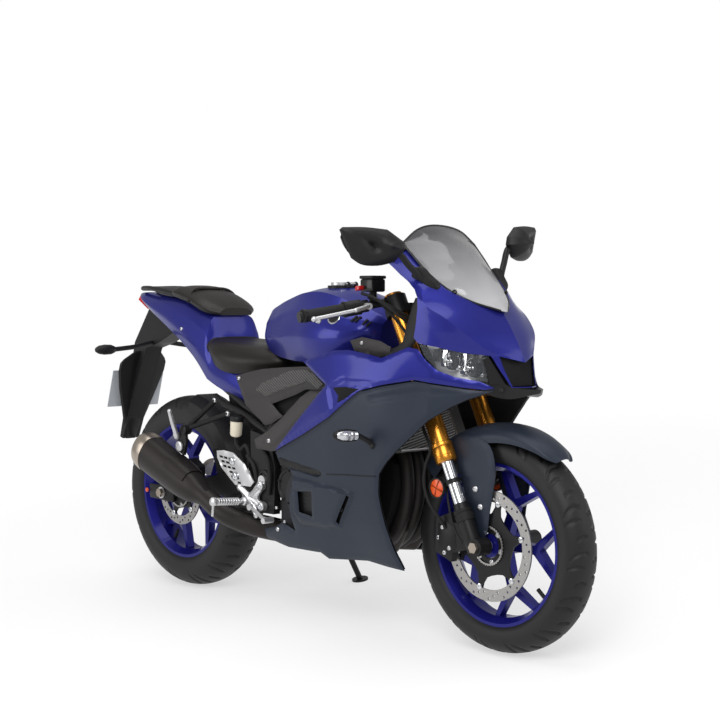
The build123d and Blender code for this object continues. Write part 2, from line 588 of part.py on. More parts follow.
def engine():
    """Engine block with its covers, radiator, exhaust and muffler."""
    case = join(slab([(-96, 264), (230, 264), (278, 310), (286, 420), (180, 476), (-60, 486), (-96, 450)],
                     -ENGINE_Y, ENGINE_Y),
                slab([(-142, 330), (-96, 290), (-96, 450), (-120, 450), (-142, 430)], -86, 86),
                slab([(40, 470), (250, 420), (330, 578), (300, 644), (150, 664), (88, 640)], -98, 98))
    room = NODES["drive_chain"]
    pocket = slab([(-200, 326), (-20, 326), (-20, 452), (-200, 452)], CHAIN_Y - 14, ENGINE_Y + 1)
    case = less(case, pocket, NODES["main_frame"], across(*SWING_PIVOT, 28, -130, 130))
    case = join(case, across(*FRONT_SPROCKET, 29, CHAIN_Y - 14, CHAIN_Y + 6))
    for side, big, small in ((-1, 74, 46), (1, 66, 40)):
        c = join(across(40, 372, big, side * ENGINE_Y, side * (ENGINE_Y + 34)),
                 across(-20, 395, small, side * ENGINE_Y, side * (ENGINE_Y + 26)),
                 across(190, 360, 52, side * ENGINE_Y, side * (ENGINE_Y + 22)))
        case = join(case, less(c, NODES["main_frame"], pocket))
    keep("engine_block", case)
    core = slab([(428, 534), (366, 666), (340, 654), (402, 522)], -140, 140)
    keep("radiator", core)
    hang = two_sides([(356, -112, 655), (322, -66, 700)], 7)
    keep("main_frame", join(NODES["main_frame"], less(hang, core)))
    heads = []
    for y in (-44, 44):
        heads.append(pipe_run([(300, y, 560), (340, y, 536), (350, y, 470), (344, y, 300), (300, y * 0.9, 242),
                               (140, -30, 236)], 18))
    run = join(heads[0], heads[1], pipe_run([(140, -30, 236), (-60, -60, 236), (-160, -92, 250)], 24),
               rod((-150, -86, 250), (-236, -128, 265), 30), rod((-232, -126, 264), (-280, -168, 276), 22),
               rod((-276, -166, 275), (-396, -190, 330), 20), Solid.make_sphere(20).moved(Location((-278, -167, 276))))
    run = less(run, case)
    keep("exhaust_pipes", run)
    start, end = Vector(-372, -188, 325), Vector(-712, -196, 467)
    along = (end - start).normalized()
    rise = Vector(0, 1, 0).cross(along).normalized()
    if rise.Z < 0:
        rise = rise * -1

    def section(distance, half_w, half_h):
        """An eight-sided section square to the muffler's axis."""
        c = start + along * distance
        pts = [(1, 0.45), (0.62, 1), (-0.62, 1), (-1, 0.45), (-1, -0.45), (-0.62, -1), (0.62, -1), (1, -0.45)]
        return polygon([tuple(c + Vector(0, 1, 0) * (u * half_w) + rise * (v * half_h)) for u, v in pts])

    length = (end - start).length
    body = join(hull_loft([section(0, 26, 26), section(110, 42, 50)], True),
                hull_loft([section(110, 42, 50), section(length - 50, 48, 57)], True))
    keep("muffler", less(body, run))
    cap = hull_loft([section(length - 50, 48.5, 57.5), section(length - 12, 49, 58), section(length, 44, 52)], True)
    cap = less(cap, rod(start + along * (length - 40), start + along * (length + 2), 17))
    keep("muffler_cap", cap)


frame_pieces()
drive()
engine()


# ---------------------------------------------------------------- bodywork
TANK = [                            # x, (half, z) from the bottom edge up, top z
    (-238, (60, 806), (72, 850), (50, 896), 912),
    (-140, (88, 772), (106, 845), (78, 920), 950),
    (-20, (120, 766), (143, 860), (104, 946), 983),
    (110, (150, 772), (165, 858), (118, 946), 978),
    (200, (140, 795), (150, 862), (108, 926), 948),
    (276, (72, 806), (98, 858), (60, 890), 904),
]
TAIL_LOW = [                        # the panel under the rider's seat
    (-292, (106, 630), (118, 664), (112, 711), 712),
    (-370, (110, 652), (120, 690), (112, 711), 712),
    (-482, (106, 690), (112, 730), (102, 762), 764),
]
TAIL_HUMP = [
    (-482, (106, 690), (110, 780), (96, 880), 900),
    (-600, (92, 796), (104, 860), (90, 925), 938),
    (-750, (78, 866), (84, 905), (72, 948), 960),
    (-900, (52, 930), (58, 950), (46, 966), 972),
    (-962, (28, 955), (32, 962), (24, 968), 970),
]
RIDER_SEAT = [
    (-148, (56, 737), (62, 762), (40, 774), 776),
    (-230, (104, 728), (104, 772), (74, 798), 802),
    (-350, (126, 715), (124, 782), (84, 810), 815),
    (-476, (112, 768), (108, 800), (80, 822), 826),
]
PILLION_SEAT = [
    (-488, (92, 902), (88, 916), (60, 926), 928),
    (-600, (96, 944), (94, 962), (66, 972), 974),
    (-760, (82, 966), (80, 978), (54, 986), 987),
    (-866, (56, 975), (54, 982), (34, 987), 988),
]
COWL = [                            # z, nose x, (x, half) beside it, (x, half) at the rear edge
    (715, 812, (690, 105), (520, 172)),
    (790, 764, (664, 125), (506, 181)),
    (860, 719, (634, 130), (515, 181)),
    (932, 667, (598, 125), (520, 178)),
    (1000, 600, (544, 118), (462, 171)),
    (1064, 528, (474, 118), (392, 159)),
    (1112, 474, (440, 100), (420, 130)),
]
SIDE_X = (-200, -50, 120, 270, 430, 580, 770)
SIDE_Z = (190, 260, 330, 420, 520, 620, 710, 830)
SIDE_HALF = [                       # half width of the fairing, a row for each X
    (125, 145, 155, 165, 170, 170, 165, 160),
    (140, 160, 172, 182, 190, 190, 185, 180),
    (140, 165, 185, 200, 208, 212, 210, 200),
    (130, 160, 188, 208, 220, 228, 225, 205),
    (112, 145, 175, 205, 215, 225, 222, 196),
    (100, 130, 155, 180, 195, 200, 195, 176),
    (80, 100, 120, 135, 140, 142, 138, 120),
]
DARK_PANEL = [(356, 693), (538, 727), (736, 703), (755, 701), (655, 662), (594, 625), (481, 539), (418, 472),
              (409, 414), (420, 327), (442, 199), (293, 211), (133, 198), (103, 213), (-43, 212), (-180, 232),
              (-176, 252), (-92, 268), (-46, 288), (11, 268), (-3, 329), (-41, 427), (-19, 470), (-51, 497),
              (228, 612)]
BLUE_PANEL = [(93, 768), (230, 803), (293, 806), (421, 787), (505, 818), (560, 796), (618, 752), (727, 731),
              (766, 712), (736, 707), (538, 731), (356, 697), (226, 616), (-51, 501), (-28, 520), (213, 706)]
LAMP_OUTLINE = [(537, 827), (661, 800), (710, 768), (716, 727), (647, 739), (590, 762), (545, 800)]
SCREEN_LINE = [(672, 919), (620, 950), (540, 952), (505, 990), (380, 1064), (380, 1200), (700, 1200), (700, 930)]
CHIN_OUTLINE = [(690, 796), (900, 760), (900, 690), (716, 712)]


def skin_section(x, *rows):
    """A closed section at X: right side (half, z) rows from the bottom, then the top's middle."""
    *sides, top = rows
    pts = [(x, -h, z) for h, z in sides] + [(x, 0, top)] + [(x, h, z) for h, z in reversed(sides)]
    return polygon(pts)


def cowl_section(z, nose, beside, rear, inset=0.0):
    """Right half, nose and left half of the cowl's plan at a height, as points."""
    (bx, bh), (rx, rh) = beside, rear
    half = [(rx, -(rh - inset)), (bx - inset * 0.8, -(bh - inset * 0.8))]
    return [(x, y, z) for x, y in half] + [(nose - inset * 1.3, 0, z)] + [(x, -y, z) for x, y in reversed(half)]


def tank_and_seats():
    """Fuel tank with its cap, seats and tail."""
    frame = NODES["main_frame"]
    tank = hull_loft([skin_section(*row) for row in TANK])
    cap_x, cap_z = 40.0, 981.0
    seat = rod((cap_x, 0, cap_z - 14), (cap_x, 0, cap_z + 6), 44)
    knuckle_x, knuckle_z = cap_x + 42, cap_z + 11
    lugs = join(slab([(knuckle_x - 6, cap_z), (knuckle_x + 6, cap_z), (knuckle_x + 6, knuckle_z),
                      (knuckle_x, knuckle_z + 6), (knuckle_x - 6, knuckle_z)], -20, -11),
                slab([(knuckle_x - 6, cap_z), (knuckle_x + 6, cap_z), (knuckle_x + 6, knuckle_z),
                      (knuckle_x, knuckle_z + 6), (knuckle_x - 6, knuckle_z)], 11, 20))
    neck = rod((cap_x, 0, cap_z - 40), (cap_x, 0, cap_z + 10), 22)
    ring = join(seat, lugs)
    ring = less(ring, neck, across(knuckle_x, knuckle_z, 2.1, -30, 30))
    keep("fuel_tank", less(tank, seat, lugs, neck, frame))
    keep("filler_ring", ring)
    lid = join(rod((cap_x, 0, cap_z + 6.5), (cap_x, 0, cap_z + 15), 34),
               slab([(cap_x + 20, cap_z + 6.5), (knuckle_x - 2, cap_z + 7), (knuckle_x, knuckle_z + 4),
                     (cap_x + 20, cap_z + 15)], -10.5, 10.5),
               across(knuckle_x, knuckle_z, 4.2, -10.5, 10.5), across(knuckle_x, knuckle_z, 2, -20, 20))
    keep("fuel_lid", lid)
    low = hull_loft([skin_section(*row) for row in TAIL_LOW], True)
    hump = hull_loft([skin_section(*row) for row in TAIL_HUMP])
    rider = hull_loft([skin_section(*row) for row in RIDER_SEAT])
    pillion = hull_loft([skin_section(*row) for row in PILLION_SEAT])
    tail = less(join(low, hump), pillion, rider, frame)
    keep("tail_cowl", tail)
    keep("rider_seat", less(rider, tank, frame))
    keep("pillion_seat", pillion)
    lamp = slab([(-890, 934), (-966, 962), (-980, 946), (-925, 914)], -26, 26)
    keep("tail_lamp", less(lamp, tail))
    arm = slab([(-760, 838), (-850, 800), (-925, 780), (-985, 655), (-1070, 462), (-1086, 468), (-1056, 576),
                (-1018, 700), (-992, 800), (-905, 915), (-830, 900)], -34, 34)
    keep("plate_arm", less(arm, tail, frame, NODES["tail_lamp"]))
    plate = slab([(-1017.5, 702), (-1055.5, 576), (-1058, 577), (-1020, 703)], -105, 105)
    bolts = [rod(PLATE_BOLTS + PLATE_NORMAL * 9 + Vector(0, y, 0), PLATE_BOLTS - PLATE_NORMAL * 9 + Vector(0, y, 0),
                 PLATE_BOLT_R) for y in (-PLATE_BOLT_SPACING / 2, PLATE_BOLT_SPACING / 2)]
    keep("licence_plate", less(plate, NODES["plate_arm"], *bolts))
    stalk, lamp = [], []
    for side in (-1, 1):
        stalk.append(rod((-880, side * 34, 800), (-868, side * 205, 781), 7))
        lamp.append(rod((-867, side * 205, 781), (-862, side * 275, 779), 17))
    keep("indicator_stalks", less(Compound(stalk), NODES["plate_arm"], *lamp))
    keep("indicators", Compound(lamp))
    cover = slab([(-292, 640), (-266, 613), (-130, 573), (105, 664), (200, 705), (112, 756), (-140, 737),
                  (-290, 712)], -165, -157)
    boss = join(rod((-130, -165, 640), (-130, -96, 655), 12), rod((76, -165, 712), (76, -134, 702), 9),
                rod((-265, -165, 645), (-265, -106, 641), 9))
    cover = less(join(cover, boss), frame, tank, rider, tail, NODES["engine_block"])
    keep("side_covers", less(both(biggest(cover)), frame))


def fairings():
    """Nose cowl, screen, headlamps, chin, side panels and mirrors."""
    shell = hull_loft([polygon(cowl_section(*row) + cowl_section(*row, inset=WALL)[::-1]) for row in COWL])
    screen_cut = slab(SCREEN_LINE, -250, 250)
    lamp_cut = slab(LAMP_OUTLINE, -250, 250)
    chin_cut = slab(CHIN_OUTLINE, -56, 56)
    keep("windscreen", shell & screen_cut)
    keep("headlamps", shell & lamp_cut)
    keep("air_intake", shell & chin_cut)
    stay = keep("cowl_stay", biggest(less(NODES["cowl_stay"], shell)))
    cowl = less(shell, screen_cut, lamp_cut, chin_cut, stay)
    sections = []
    for x, row in zip(SIDE_X, SIDE_HALF):
        outer = [(x, -h, z) for h, z in zip(row, SIDE_Z)]
        inner = [(x, -(h - WALL), z) for h, z in zip(row, SIDE_Z)]
        sections.append(polygon(outer + inner[::-1]))
    side = hull_loft(sections)
    dark = side & slab(DARK_PANEL, -260, 0)
    dark = less(dark, slab([(76, 394), (118, 400), (138, 334), (74, 336)], -260, 0),
                slab([(290, 403), (223, 320), (232, 312), (304, 398)], -260, 0))
    blue = side & slab(BLUE_PANEL, -260, 0)
    solid_cowl = hull_loft([polygon(cowl_section(*row)) for row in COWL[:4]])
    blue = less(blue, solid_cowl)
    keep("nose_cowl", cowl)
    blocks = both(less(dark, solid_cowl))
    keep("lower_fairings", blocks)
    keep("mid_fairings", both(blue))
    top_rod = rod((250, -232, 740), (250, -90, 752), 7)
    low_stay = rod((250, -197, 360), (250, -120, 350), 9)
    low_rear = rod((40, -178, 262), (40, -120, 290), 9)
    inner = slab([(238, 831), (300, 806), (421, 787), (509, 820), (524, 843), (539, 948), (520, 948), (430, 862),
                  (330, 850)], -163, -159)
    inner = both(biggest(less(inner, shell, blue)))
    keep("side_covers", Compound(NODES["side_covers"].solids() + inner.solids()))
    ties = []
    for tie in (low_stay, low_rear, top_rod):
        tie = both(biggest(less(tie, NODES["engine_block"], NODES["main_frame"], dark, blue)))
        ties.append(tie)
    keep("fairing_stays", Compound([s for t in ties for s in t.solids()]))
    dash = slab([(512, 972), (478, 1046), (498, 1054), (534, 980)], -76, 76)
    keep("instrument_cluster", less(dash, stay))
    head = front_slab([(-382, 1127), (-300, 1146), (-238, 1118), (-262, 1074), (-326, 1046), (-374, 1084)], 468, 494)
    stem = join(rod((526, -118, 988), (486, -284, 1078), 8), rod((530, -112, 984), (520, -142, 1000), 18))
    keep("mirrors", both(less(join(head, stem), shell)))
    stalk = rod((407, -196, 578), (409, -262, 577), 8)
    lamp = rod((409, -262, 577), (413, -332, 575), 17)
    stalk = both(max(less(stalk, dark, lamp).solids(), key=lambda s: -s.center().Y))
    keep("indicator_stalks", Compound(NODES["indicator_stalks"].solids() + stalk.solids()))
    keep("indicators", Compound(NODES["indicators"].solids() + both(lamp).solids()))


def rider_controls():
    """Footrest plates, footrests, pedals, passenger footrests and the rear reservoir."""
    y = PLATE_Y[1]
    plate = slab([(-146, 404), (-140, 312), (-186, 304), (-246, 314), (-296, 372), (-384, 470), (-372, 480),
                  (-240, 462), (-196, 400)], -y - 14, -y - 8)
    bosses = join(rod((-168, -y, 386), (-168, -y - 8, 386), 11), rod((-166, -y, 322), (-166, -y - 8, 322), 11))
    keep("footrest_plates", both(less(join(plate, bosses), NODES["chassis_axles"])))
    peg = join(rod((-226, -y - 14, 332), (-224, -y - 30, 333), 13), rod((-224, -y - 30, 333), (-208, -300, 345), 11))
    keep("footrests", both(less(peg, plate)))
    pedal = pipe_run([(-196, -y - 20, 318), (-120, -y - 34, 292), (-60, -y - 52, 296)], 6)
    pedal = join(pedal, rod((-60, -y - 48, 296), (-60, -y - 84, 296), 9), rod((-196, -y - 14, 318), (-196, -y - 28, 318), 10))
    keep("foot_pedals", both(pedal))
    hanger = join(pipe_run([(-428, -96, 682), (-500, -176, 536), (-338, -106, 640)], 7),
                  rod((-500, -172, 536), (-500, -184, 536), 11))
    stay = slab([(-470, 405), (-505, 395), (-514, 540), (-486, 540)], -184, -177)
    hangers = both(less(hanger, NODES["main_frame"], NODES["tail_cowl"]))
    keep("passenger_hangers", join(hangers, less(stay, NODES["muffler"])))
    peg = rod((-500, -184, 540), (-497, -250, 602), 9.5)
    rests = Compound(NODES["footrests"].solids() + both(peg).solids())
    keep("footrests", less(rests, NODES["passenger_hangers"]))
    pot = join(rod((-330, -132, 520), (-330, -132, 568), 20), rod((-330, -132, 568), (-330, -132, 576), 22))
    hold = rod((-330, -126, 560), (-318, -112, 640), 6)
    keep("rear_reservoir", less(join(pot, hold), NODES["main_frame"], NODES["tail_cowl"]))


tank_and_seats()
fairings()
rider_controls()


# ---------------------------------------------------------------- side stand
STAND_PIVOT = Vector(-196, 152, 282)
STAND_AXIS = Vector(0, cos(radians(25)), sin(radians(25)))
FOOT_Y = 262.0


def ground_at(y):
    """Height of the ground under the leaned bike, in the upright frame."""
    return (y * sin(radians(LEAN)) - SINK) / cos(radians(LEAN))


def side_stand():
    """Bracket on the frame, and the stand with its pin and foot, which swings back about the pin."""
    normal = Vector(0, -sin(radians(LEAN)), cos(radians(LEAN)))
    foot = Vector(-168, FOOT_Y, ground_at(FOOT_Y))
    pin_half = 18.0
    ear = rod(STAND_PIVOT - STAND_AXIS * 18, STAND_PIVOT - STAND_AXIS * 9.6, 15)
    web = slab([(-222, 318), (-172, 318), (-172, 296), (-184, 290), (-210, 290)], PLATE_Y[1] - 4, PLATE_Y[1] + 2)
    web = join(web, rod((-196, PLATE_Y[1] - 10, 305), STAND_PIVOT - STAND_AXIS * 10, 9), slab(
        [(-224, 330), (-172, 330), (-172, 300), (-210, 300)], PLATE_Y[0] + 6, PLATE_Y[1] + 2))
    pin_room = rod(STAND_PIVOT - STAND_AXIS * 40, STAND_PIVOT + STAND_AXIS * 40, 6 + RUNNING_FIT)
    sweep_room = rod(STAND_PIVOT - STAND_AXIS * 9.6, STAND_PIVOT + STAND_AXIS * 30, 22)
    bracket = less(join(ear, web), pin_room, sweep_room, NODES["main_frame"], NODES["footrest_plates"])
    keep("main_frame", join(NODES["main_frame"], bracket))
    leg = join(rod(STAND_PIVOT - STAND_AXIS * 9, STAND_PIVOT + STAND_AXIS * 9, 14),
               rod(STAND_PIVOT - STAND_AXIS * pin_half, STAND_PIVOT + STAND_AXIS * 14, 6),
               rod(STAND_PIVOT, foot + normal * 5, 9),
               rod(foot, foot + normal * 6, 26))
    keep("side_stand", leg)


side_stand()


# ---------------------------------------------------------------- write the files
def finish():
    """Leans every piece onto the stand, moves it and writes it."""
    os.makedirs("parts", exist_ok=True)
    for name, shape in NODES.items():
        leaned = shape.rotate(Axis.X, -LEAN).moved(
            Location((OVERHANG_SHIFT, LEAN_SHIFT, SINK)))
        export_step(leaned, f"parts/{name}.step")


if __name__ == "__main__":
    finish()
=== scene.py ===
"""Sport bike: the looks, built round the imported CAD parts.

Every size is in the bike's own upright frame, in millimetres, and Stance leans it onto the side stand
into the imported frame, in metres.
"""

import logging
import math
from contextlib import contextmanager
from dataclasses import dataclass
from enum import Enum, IntEnum
from typing import Callable, Iterable, Iterator, Optional, Sequence

import bmesh
import bpy
from mathutils import Matrix, Vector
from mathutils.geometry import delaunay_2d_cdt


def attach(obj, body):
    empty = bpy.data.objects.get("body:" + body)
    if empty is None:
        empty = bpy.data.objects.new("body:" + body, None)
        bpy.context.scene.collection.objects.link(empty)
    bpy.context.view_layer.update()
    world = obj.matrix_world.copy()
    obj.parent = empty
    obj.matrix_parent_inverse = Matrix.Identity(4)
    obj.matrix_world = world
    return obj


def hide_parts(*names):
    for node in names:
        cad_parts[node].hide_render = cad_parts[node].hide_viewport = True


log = logging.getLogger("sport_bike")
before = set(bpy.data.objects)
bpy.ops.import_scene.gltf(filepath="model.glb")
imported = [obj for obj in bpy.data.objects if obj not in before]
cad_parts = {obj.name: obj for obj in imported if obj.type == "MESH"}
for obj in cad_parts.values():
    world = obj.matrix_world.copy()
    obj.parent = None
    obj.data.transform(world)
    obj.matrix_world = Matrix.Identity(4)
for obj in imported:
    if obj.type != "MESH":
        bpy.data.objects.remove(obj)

Point2 = tuple[float, float]
Point3 = tuple[float, float, float]
Outline = tuple[Point2, ...]
Line = tuple[Point3, ...]
Rows = tuple[tuple, ...]
Width = Callable[[float, float], float]
Obj = bpy.types.Object


# ---- named options
class Side(IntEnum):
    """A side of the bike, as the sign of its y values."""

    RIGHT = -1
    LEFT = 1

    @property
    def word(self) -> str:
        """left or right."""
        return self.name.lower()

    def span(self, near: float, far: float) -> list[float]:
        """Two distances from the middle plane as y values, the lower first."""
        return sorted((self * near, self * far))

    def path(self, points: Iterable[Point3]) -> list[Point3]:
        """Points given for the left side, on this side."""
        return [(x, self * y, z) for x, y, z in points]


class Body(Enum):
    """The bodies that pieces ride on."""

    CHASSIS = "chassis"
    STEERING = "steering"
    FRONT_WHEEL = "front_wheel"
    REAR_WHEEL = "rear_wheel"


class Plane(Enum):
    """The flat plane that an outline is drawn in."""

    XZ = "xz"
    YZ = "yz"
    XY = "xy"

    def at(self, p: Point2, depth: float) -> Point3:
        """A point of the outline, moved by a depth along the third axis."""
        places = {Plane.XZ: (p[0], depth, p[1]), Plane.YZ: (depth, p[0], p[1]), Plane.XY: (p[0], p[1], depth)}
        return places[self]


class Cut(Enum):
    """What is left of a piece that is carved."""

    OUTSIDE = "DIFFERENCE"
    INSIDE = "INTERSECT"


# ---- places
class Stance:
    """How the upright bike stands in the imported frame."""

    LEAN = math.radians(10.5)
    TYRE_ROUND = 75.0
    SHIFT = Vector((51.5, -172.8, TYRE_ROUND * (1 - math.cos(LEAN))))
    MATRIX = Matrix.Scale(0.001, 4) @ Matrix.Translation(SHIFT) @ Matrix.Rotation(-LEAN, 4, "X")

    @classmethod
    def place(cls, point: Sequence[float]) -> Vector:
        """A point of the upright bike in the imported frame.

        Args:
            point: x, y and z in millimetres.

        Returns:
            The same point in metres, leaned.
        """
        return cls.MATRIX @ Vector(point)


# ---- node materials
@dataclass(frozen=True)
class Socket:
    """A shader value that can be added, multiplied and mixed like a number."""

    maker: "Material"
    out: object

    def _math(self, kind: str, other: object, swap: bool = False) -> "Socket":
        """One math node on this value and another."""
        a, b = (other, self) if swap else (self, other)
        return self.maker.node("ShaderNodeMath", {0: a, 1: b}, operation=kind)

    def __add__(self, other: object) -> "Socket":
        """The sum."""
        return self._math("ADD", other)

    def __sub__(self, other: object) -> "Socket":
        """The difference."""
        return self._math("SUBTRACT", other)

    def __rsub__(self, other: object) -> "Socket":
        """The difference from another value."""
        return self._math("SUBTRACT", other, swap=True)

    def __mul__(self, other: object) -> "Socket":
        """The product."""
        return self._math("MULTIPLY", other)

    __radd__ = __add__
    __rmul__ = __mul__

    def over(self, limit: float) -> "Socket":
        """1 where this is over a limit, else 0."""
        return self._math("GREATER_THAN", limit)

    def sine(self) -> "Socket":
        """The sine of this value."""
        return self.maker.node("ShaderNodeMath", {0: self}, operation="SINE")


class Material:
    """A procedural material on object coordinates."""

    def __init__(self, name: str, **constants: object) -> None:
        """Starts from the principled shader with constants on its sockets.

        Args:
            name: the material's name.
            **constants: socket names with _ for a space, and their values.
        """
        self.material = bpy.data.materials.new(name)
        self.material.use_nodes = True
        self.tree = self.material.node_tree
        self.shader = self.tree.nodes["Principled BSDF"]
        for key, value in constants.items():
            self.shader.inputs[key.replace("_", " ")].default_value = value

    def node(self, kind: str, inputs: Optional[dict] = None, output: object = 0,
             **settings: object) -> Socket:
        """Makes one node, sets it and links it.

        Args:
            kind: the node's type name.
            inputs: input name or number to a Socket or a constant.
            output: name or number of the output that is returned.
            **settings: properties of the node.

        Returns:
            The node's output.
        """
        made = self.tree.nodes.new(kind)
        for key, value in settings.items():
            setattr(made, key, value)
        for key, value in (inputs or {}).items():
            if isinstance(value, Socket):
                self.tree.links.new(value.out, made.inputs[key])
            else:
                made.inputs[key].default_value = value
        return Socket(self, made.outputs[output])

    def coords(self) -> Socket:
        """Object coordinates."""
        return self.node("ShaderNodeTexCoord", output="Object")

    def axis(self, letter: str) -> Socket:
        """One object coordinate in metres."""
        return self.node("ShaderNodeSeparateXYZ", {0: self.coords()}, output=letter)

    def noise(self, scale: float, detail: float = 2.0, stretch: Point3 = (1, 1, 1)) -> Socket:
        """A noise value about 0.5."""
        where = self.node("ShaderNodeMapping", {"Vector": self.coords(), "Scale": stretch})
        return self.node("ShaderNodeTexNoise", {"Vector": where, "Scale": scale, "Detail": detail})

    def ramp(self, value: Socket, low: Sequence[float], high: Sequence[float]) -> Socket:
        """A colour between two, by a value from 0 to 1."""
        return self.node("ShaderNodeMix", {0: value, 6: (*low, 1), 7: (*high, 1)}, output=2, data_type="RGBA")

    def set(self, name: str, value: Socket) -> "Material":
        """Links a value into one of the shader's inputs."""
        self.tree.links.new(value.out, self.shader.inputs[name])
        return self

    def bump(self, height: Socket, distance: float, strength: float = 1.0) -> "Material":
        """Raises the surface by a height value.

        Args:
            height: from 0 to 1.
            distance: how far a height of 1 stands out, in metres.
            strength: of the effect.

        Returns:
            The material.
        """
        normal = self.node("ShaderNodeBump", {"Height": height, "Distance": distance, "Strength": strength},
                           output="Normal")
        return self.set("Normal", normal)


@dataclass(frozen=True)
class Plain:
    """A one-colour finish with slight change of tone and an optional grain, its height in metres."""

    name: str
    color: Sequence[float]
    rough: float
    metal: float = 0.0
    coat: float = 0.0
    grain: float = 0.0
    grain_scale: float = 900.0
    shine: float = 0.25

    def make(self) -> Material:
        """The finish as a material.

        Returns:
            The material.
        """
        m = Material(self.name, Metallic=self.metal, Roughness=self.rough, Coat_Weight=self.coat,
                     Coat_Roughness=0.08, Specular_IOR_Level=self.shine)
        low, high = [c * 0.88 for c in self.color], [min(1.0, c * 1.12) for c in self.color]
        m.set("Base Color", m.ramp(m.noise(9.0, 3.0), low, high))
        if self.grain:
            m.bump(m.noise(self.grain_scale, 3.0), self.grain)
        return m


@dataclass(frozen=True)
class Ribs:
    """Fine straight ribs across x and z, their pitch and height in metres, striped with painted shade in the
    grooves and painted light on the crests.
    """

    name: str
    across: Point2
    pitch: float
    height: float
    limit: float
    # colours of the painted shade in the grooves and of the lit crests
    dark: Point3
    light: Point3
    metal: float = 0.0

    def make(self) -> Material:
        """The finish as a material.

        Returns:
            The material.
        """
        m = Material(self.name, Roughness=0.5, Metallic=self.metal)
        along_x, along_z = self.across
        slant = m.axis("X") * along_x + m.axis("Z") * along_z
        wave = (slant * (2 * math.pi / self.pitch)).sine()
        # dark stripes are painted shade in the grooves, light stripes painted light on the crests
        m.set("Base Color", m.ramp(wave.over(self.limit), self.dark, self.light))
        return m.bump(wave, self.height)


class Finish:
    """Every material of the bike, made once."""

    def __init__(self) -> None:
        """Makes the materials."""
        flake = Material("blue_paint", Metallic=0.5, Roughness=0.34, Coat_Weight=0.35, Coat_Roughness=0.10,
                         Specular_IOR_Level=0.1)
        flake.set("Base Color", flake.ramp(flake.noise(2600.0, 1.0), (0.009, 0.010, 0.125),
                                           (0.022, 0.026, 0.255)))
        self.blue = flake
        self.wheel = Plain("wheel_paint", (0.010, 0.010, 0.16), 0.36, 0.4, 0.3, shine=0.1).make()
        self.dark = Plain("dark_panel", (0.016, 0.022, 0.036), 0.45, 0.2, 0.0, 0.00002, 1500, 0.3).make()
        self.black = Plain("black_plastic", (0.007, 0.007, 0.008), 0.5, grain=0.00003).make()
        self.inner = Plain("inner_plastic", (0.030, 0.027, 0.027), 0.5, grain=0.00003).make()
        # one dark plastic striped light and dark: painted highlight on the rib crests, painted shade in the
        # grooves
        self.ribbed = Ribs("ribbed_plastic", (0.55, 0.85), 0.0075, 0.0008, 0.15, (0.016, 0.015, 0.015),
                           (0.075, 0.070, 0.068)).make()
        self.spar = Plain("spar_plastic", (0.038, 0.034, 0.034), 0.5, grain=0.00003).make()
        # dark stripes are painted shade in the gaps between the fins
        self.fins = Ribs("radiator_fins", (0.0, 1.0), 0.0066, 0.001, 0.0, (0.05, 0.05, 0.05),
                         (0.36, 0.36, 0.36), 0.3).make()
        self.dark_pipe = Plain("dark_pipe", (0.022, 0.020, 0.019), 0.5, 0.5).make()
        self.silver_lens = Plain("silver_lens", (0.55, 0.56, 0.58), 0.15, 0.7, 1.0).make()
        self.amber_dark = Plain("amber_dark", (0.22, 0.03, 0.006), 0.3).make()
        # near-black with no sheen: painted shade for openings, gaps and hollows
        self.void = Plain("painted_shade_fill", (0.004, 0.004, 0.005), 0.8).make()
        self.gloss_black = Plain("gloss_black", (0.006, 0.006, 0.007), 0.3, coat=0.15).make()
        self.black_metal = Plain("black_metal", (0.009, 0.009, 0.010), 0.42, 0.2).make()
        self.rubber = Plain("rubber", (0.008, 0.008, 0.008), 0.65, grain=0.00006).make()
        self.tyre = Plain("tyre", (0.006, 0.006, 0.0065), 0.55, grain=0.00004, shine=0.35).make()
        self.gold = Plain("gold_anodised", (0.62, 0.26, 0.035), 0.26, 0.9).make()
        self.chrome = Plain("hard_chrome", (0.62, 0.63, 0.65), 0.12, 1.0).make()
        self.steel = Plain("disc_steel", (0.33, 0.32, 0.31), 0.36, 0.9).make()
        self.chain = Plain("chain_steel", (0.22, 0.20, 0.17), 0.42, 0.9).make()
        self.bright = Plain("bright_metal", (0.55, 0.55, 0.56), 0.34, 0.85).make()
        self.engine = Plain("engine_metal", (0.03, 0.03, 0.034), 0.5, 0.6, grain=0.00005).make()
        self.radiator = Plain("radiator_metal", (0.16, 0.16, 0.16), 0.5, 0.6).make()
        self.pipe = Plain("pipe_steel", (0.030, 0.026, 0.024), 0.45, 0.6).make()
        self.muffler = Plain("muffler_coat", (0.020, 0.017, 0.016), 0.45, 0.35).make()
        self.cap = Plain("cap_metal", (0.36, 0.31, 0.26), 0.3, 0.9).make()
        self.seat = Plain("seat_cover", (0.010, 0.008, 0.007), 0.42, grain=0.0001, grain_scale=1100).make()
        self.orange = Plain("reflector", (0.62, 0.075, 0.008), 0.25, coat=0.3).make()
        self.red = Plain("red_lens", (0.45, 0.01, 0.012), 0.15, coat=0.6).make()
        self.plate = Plain("plate_blank", (0.42, 0.44, 0.47), 0.35).make()
        self.cream = Plain("cream_plastic", (0.66, 0.60, 0.48), 0.4).make()
        self.mirror = Plain("mirror_silver", (0.86, 0.87, 0.88), 0.03, 1.0).make()
        self.lens = Material("clear_lens", Base_Color=(0.3, 0.32, 0.35, 1), Roughness=0.05, Alpha=0.07,
                             Coat_Weight=0.3)
        smoke = Material("smoke_screen", Roughness=0.12, Alpha=0.86, Coat_Weight=0.5, Specular_IOR_Level=0.3)
        height = smoke.node("ShaderNodeMapRange", {"Value": smoke.axis("Z"), "From Min": 0.93,
                                                   "From Max": 1.12})
        smoke.set("Base Color", smoke.ramp(height, (0.40, 0.40, 0.41), (0.05, 0.05, 0.055)))
        self.screen = smoke


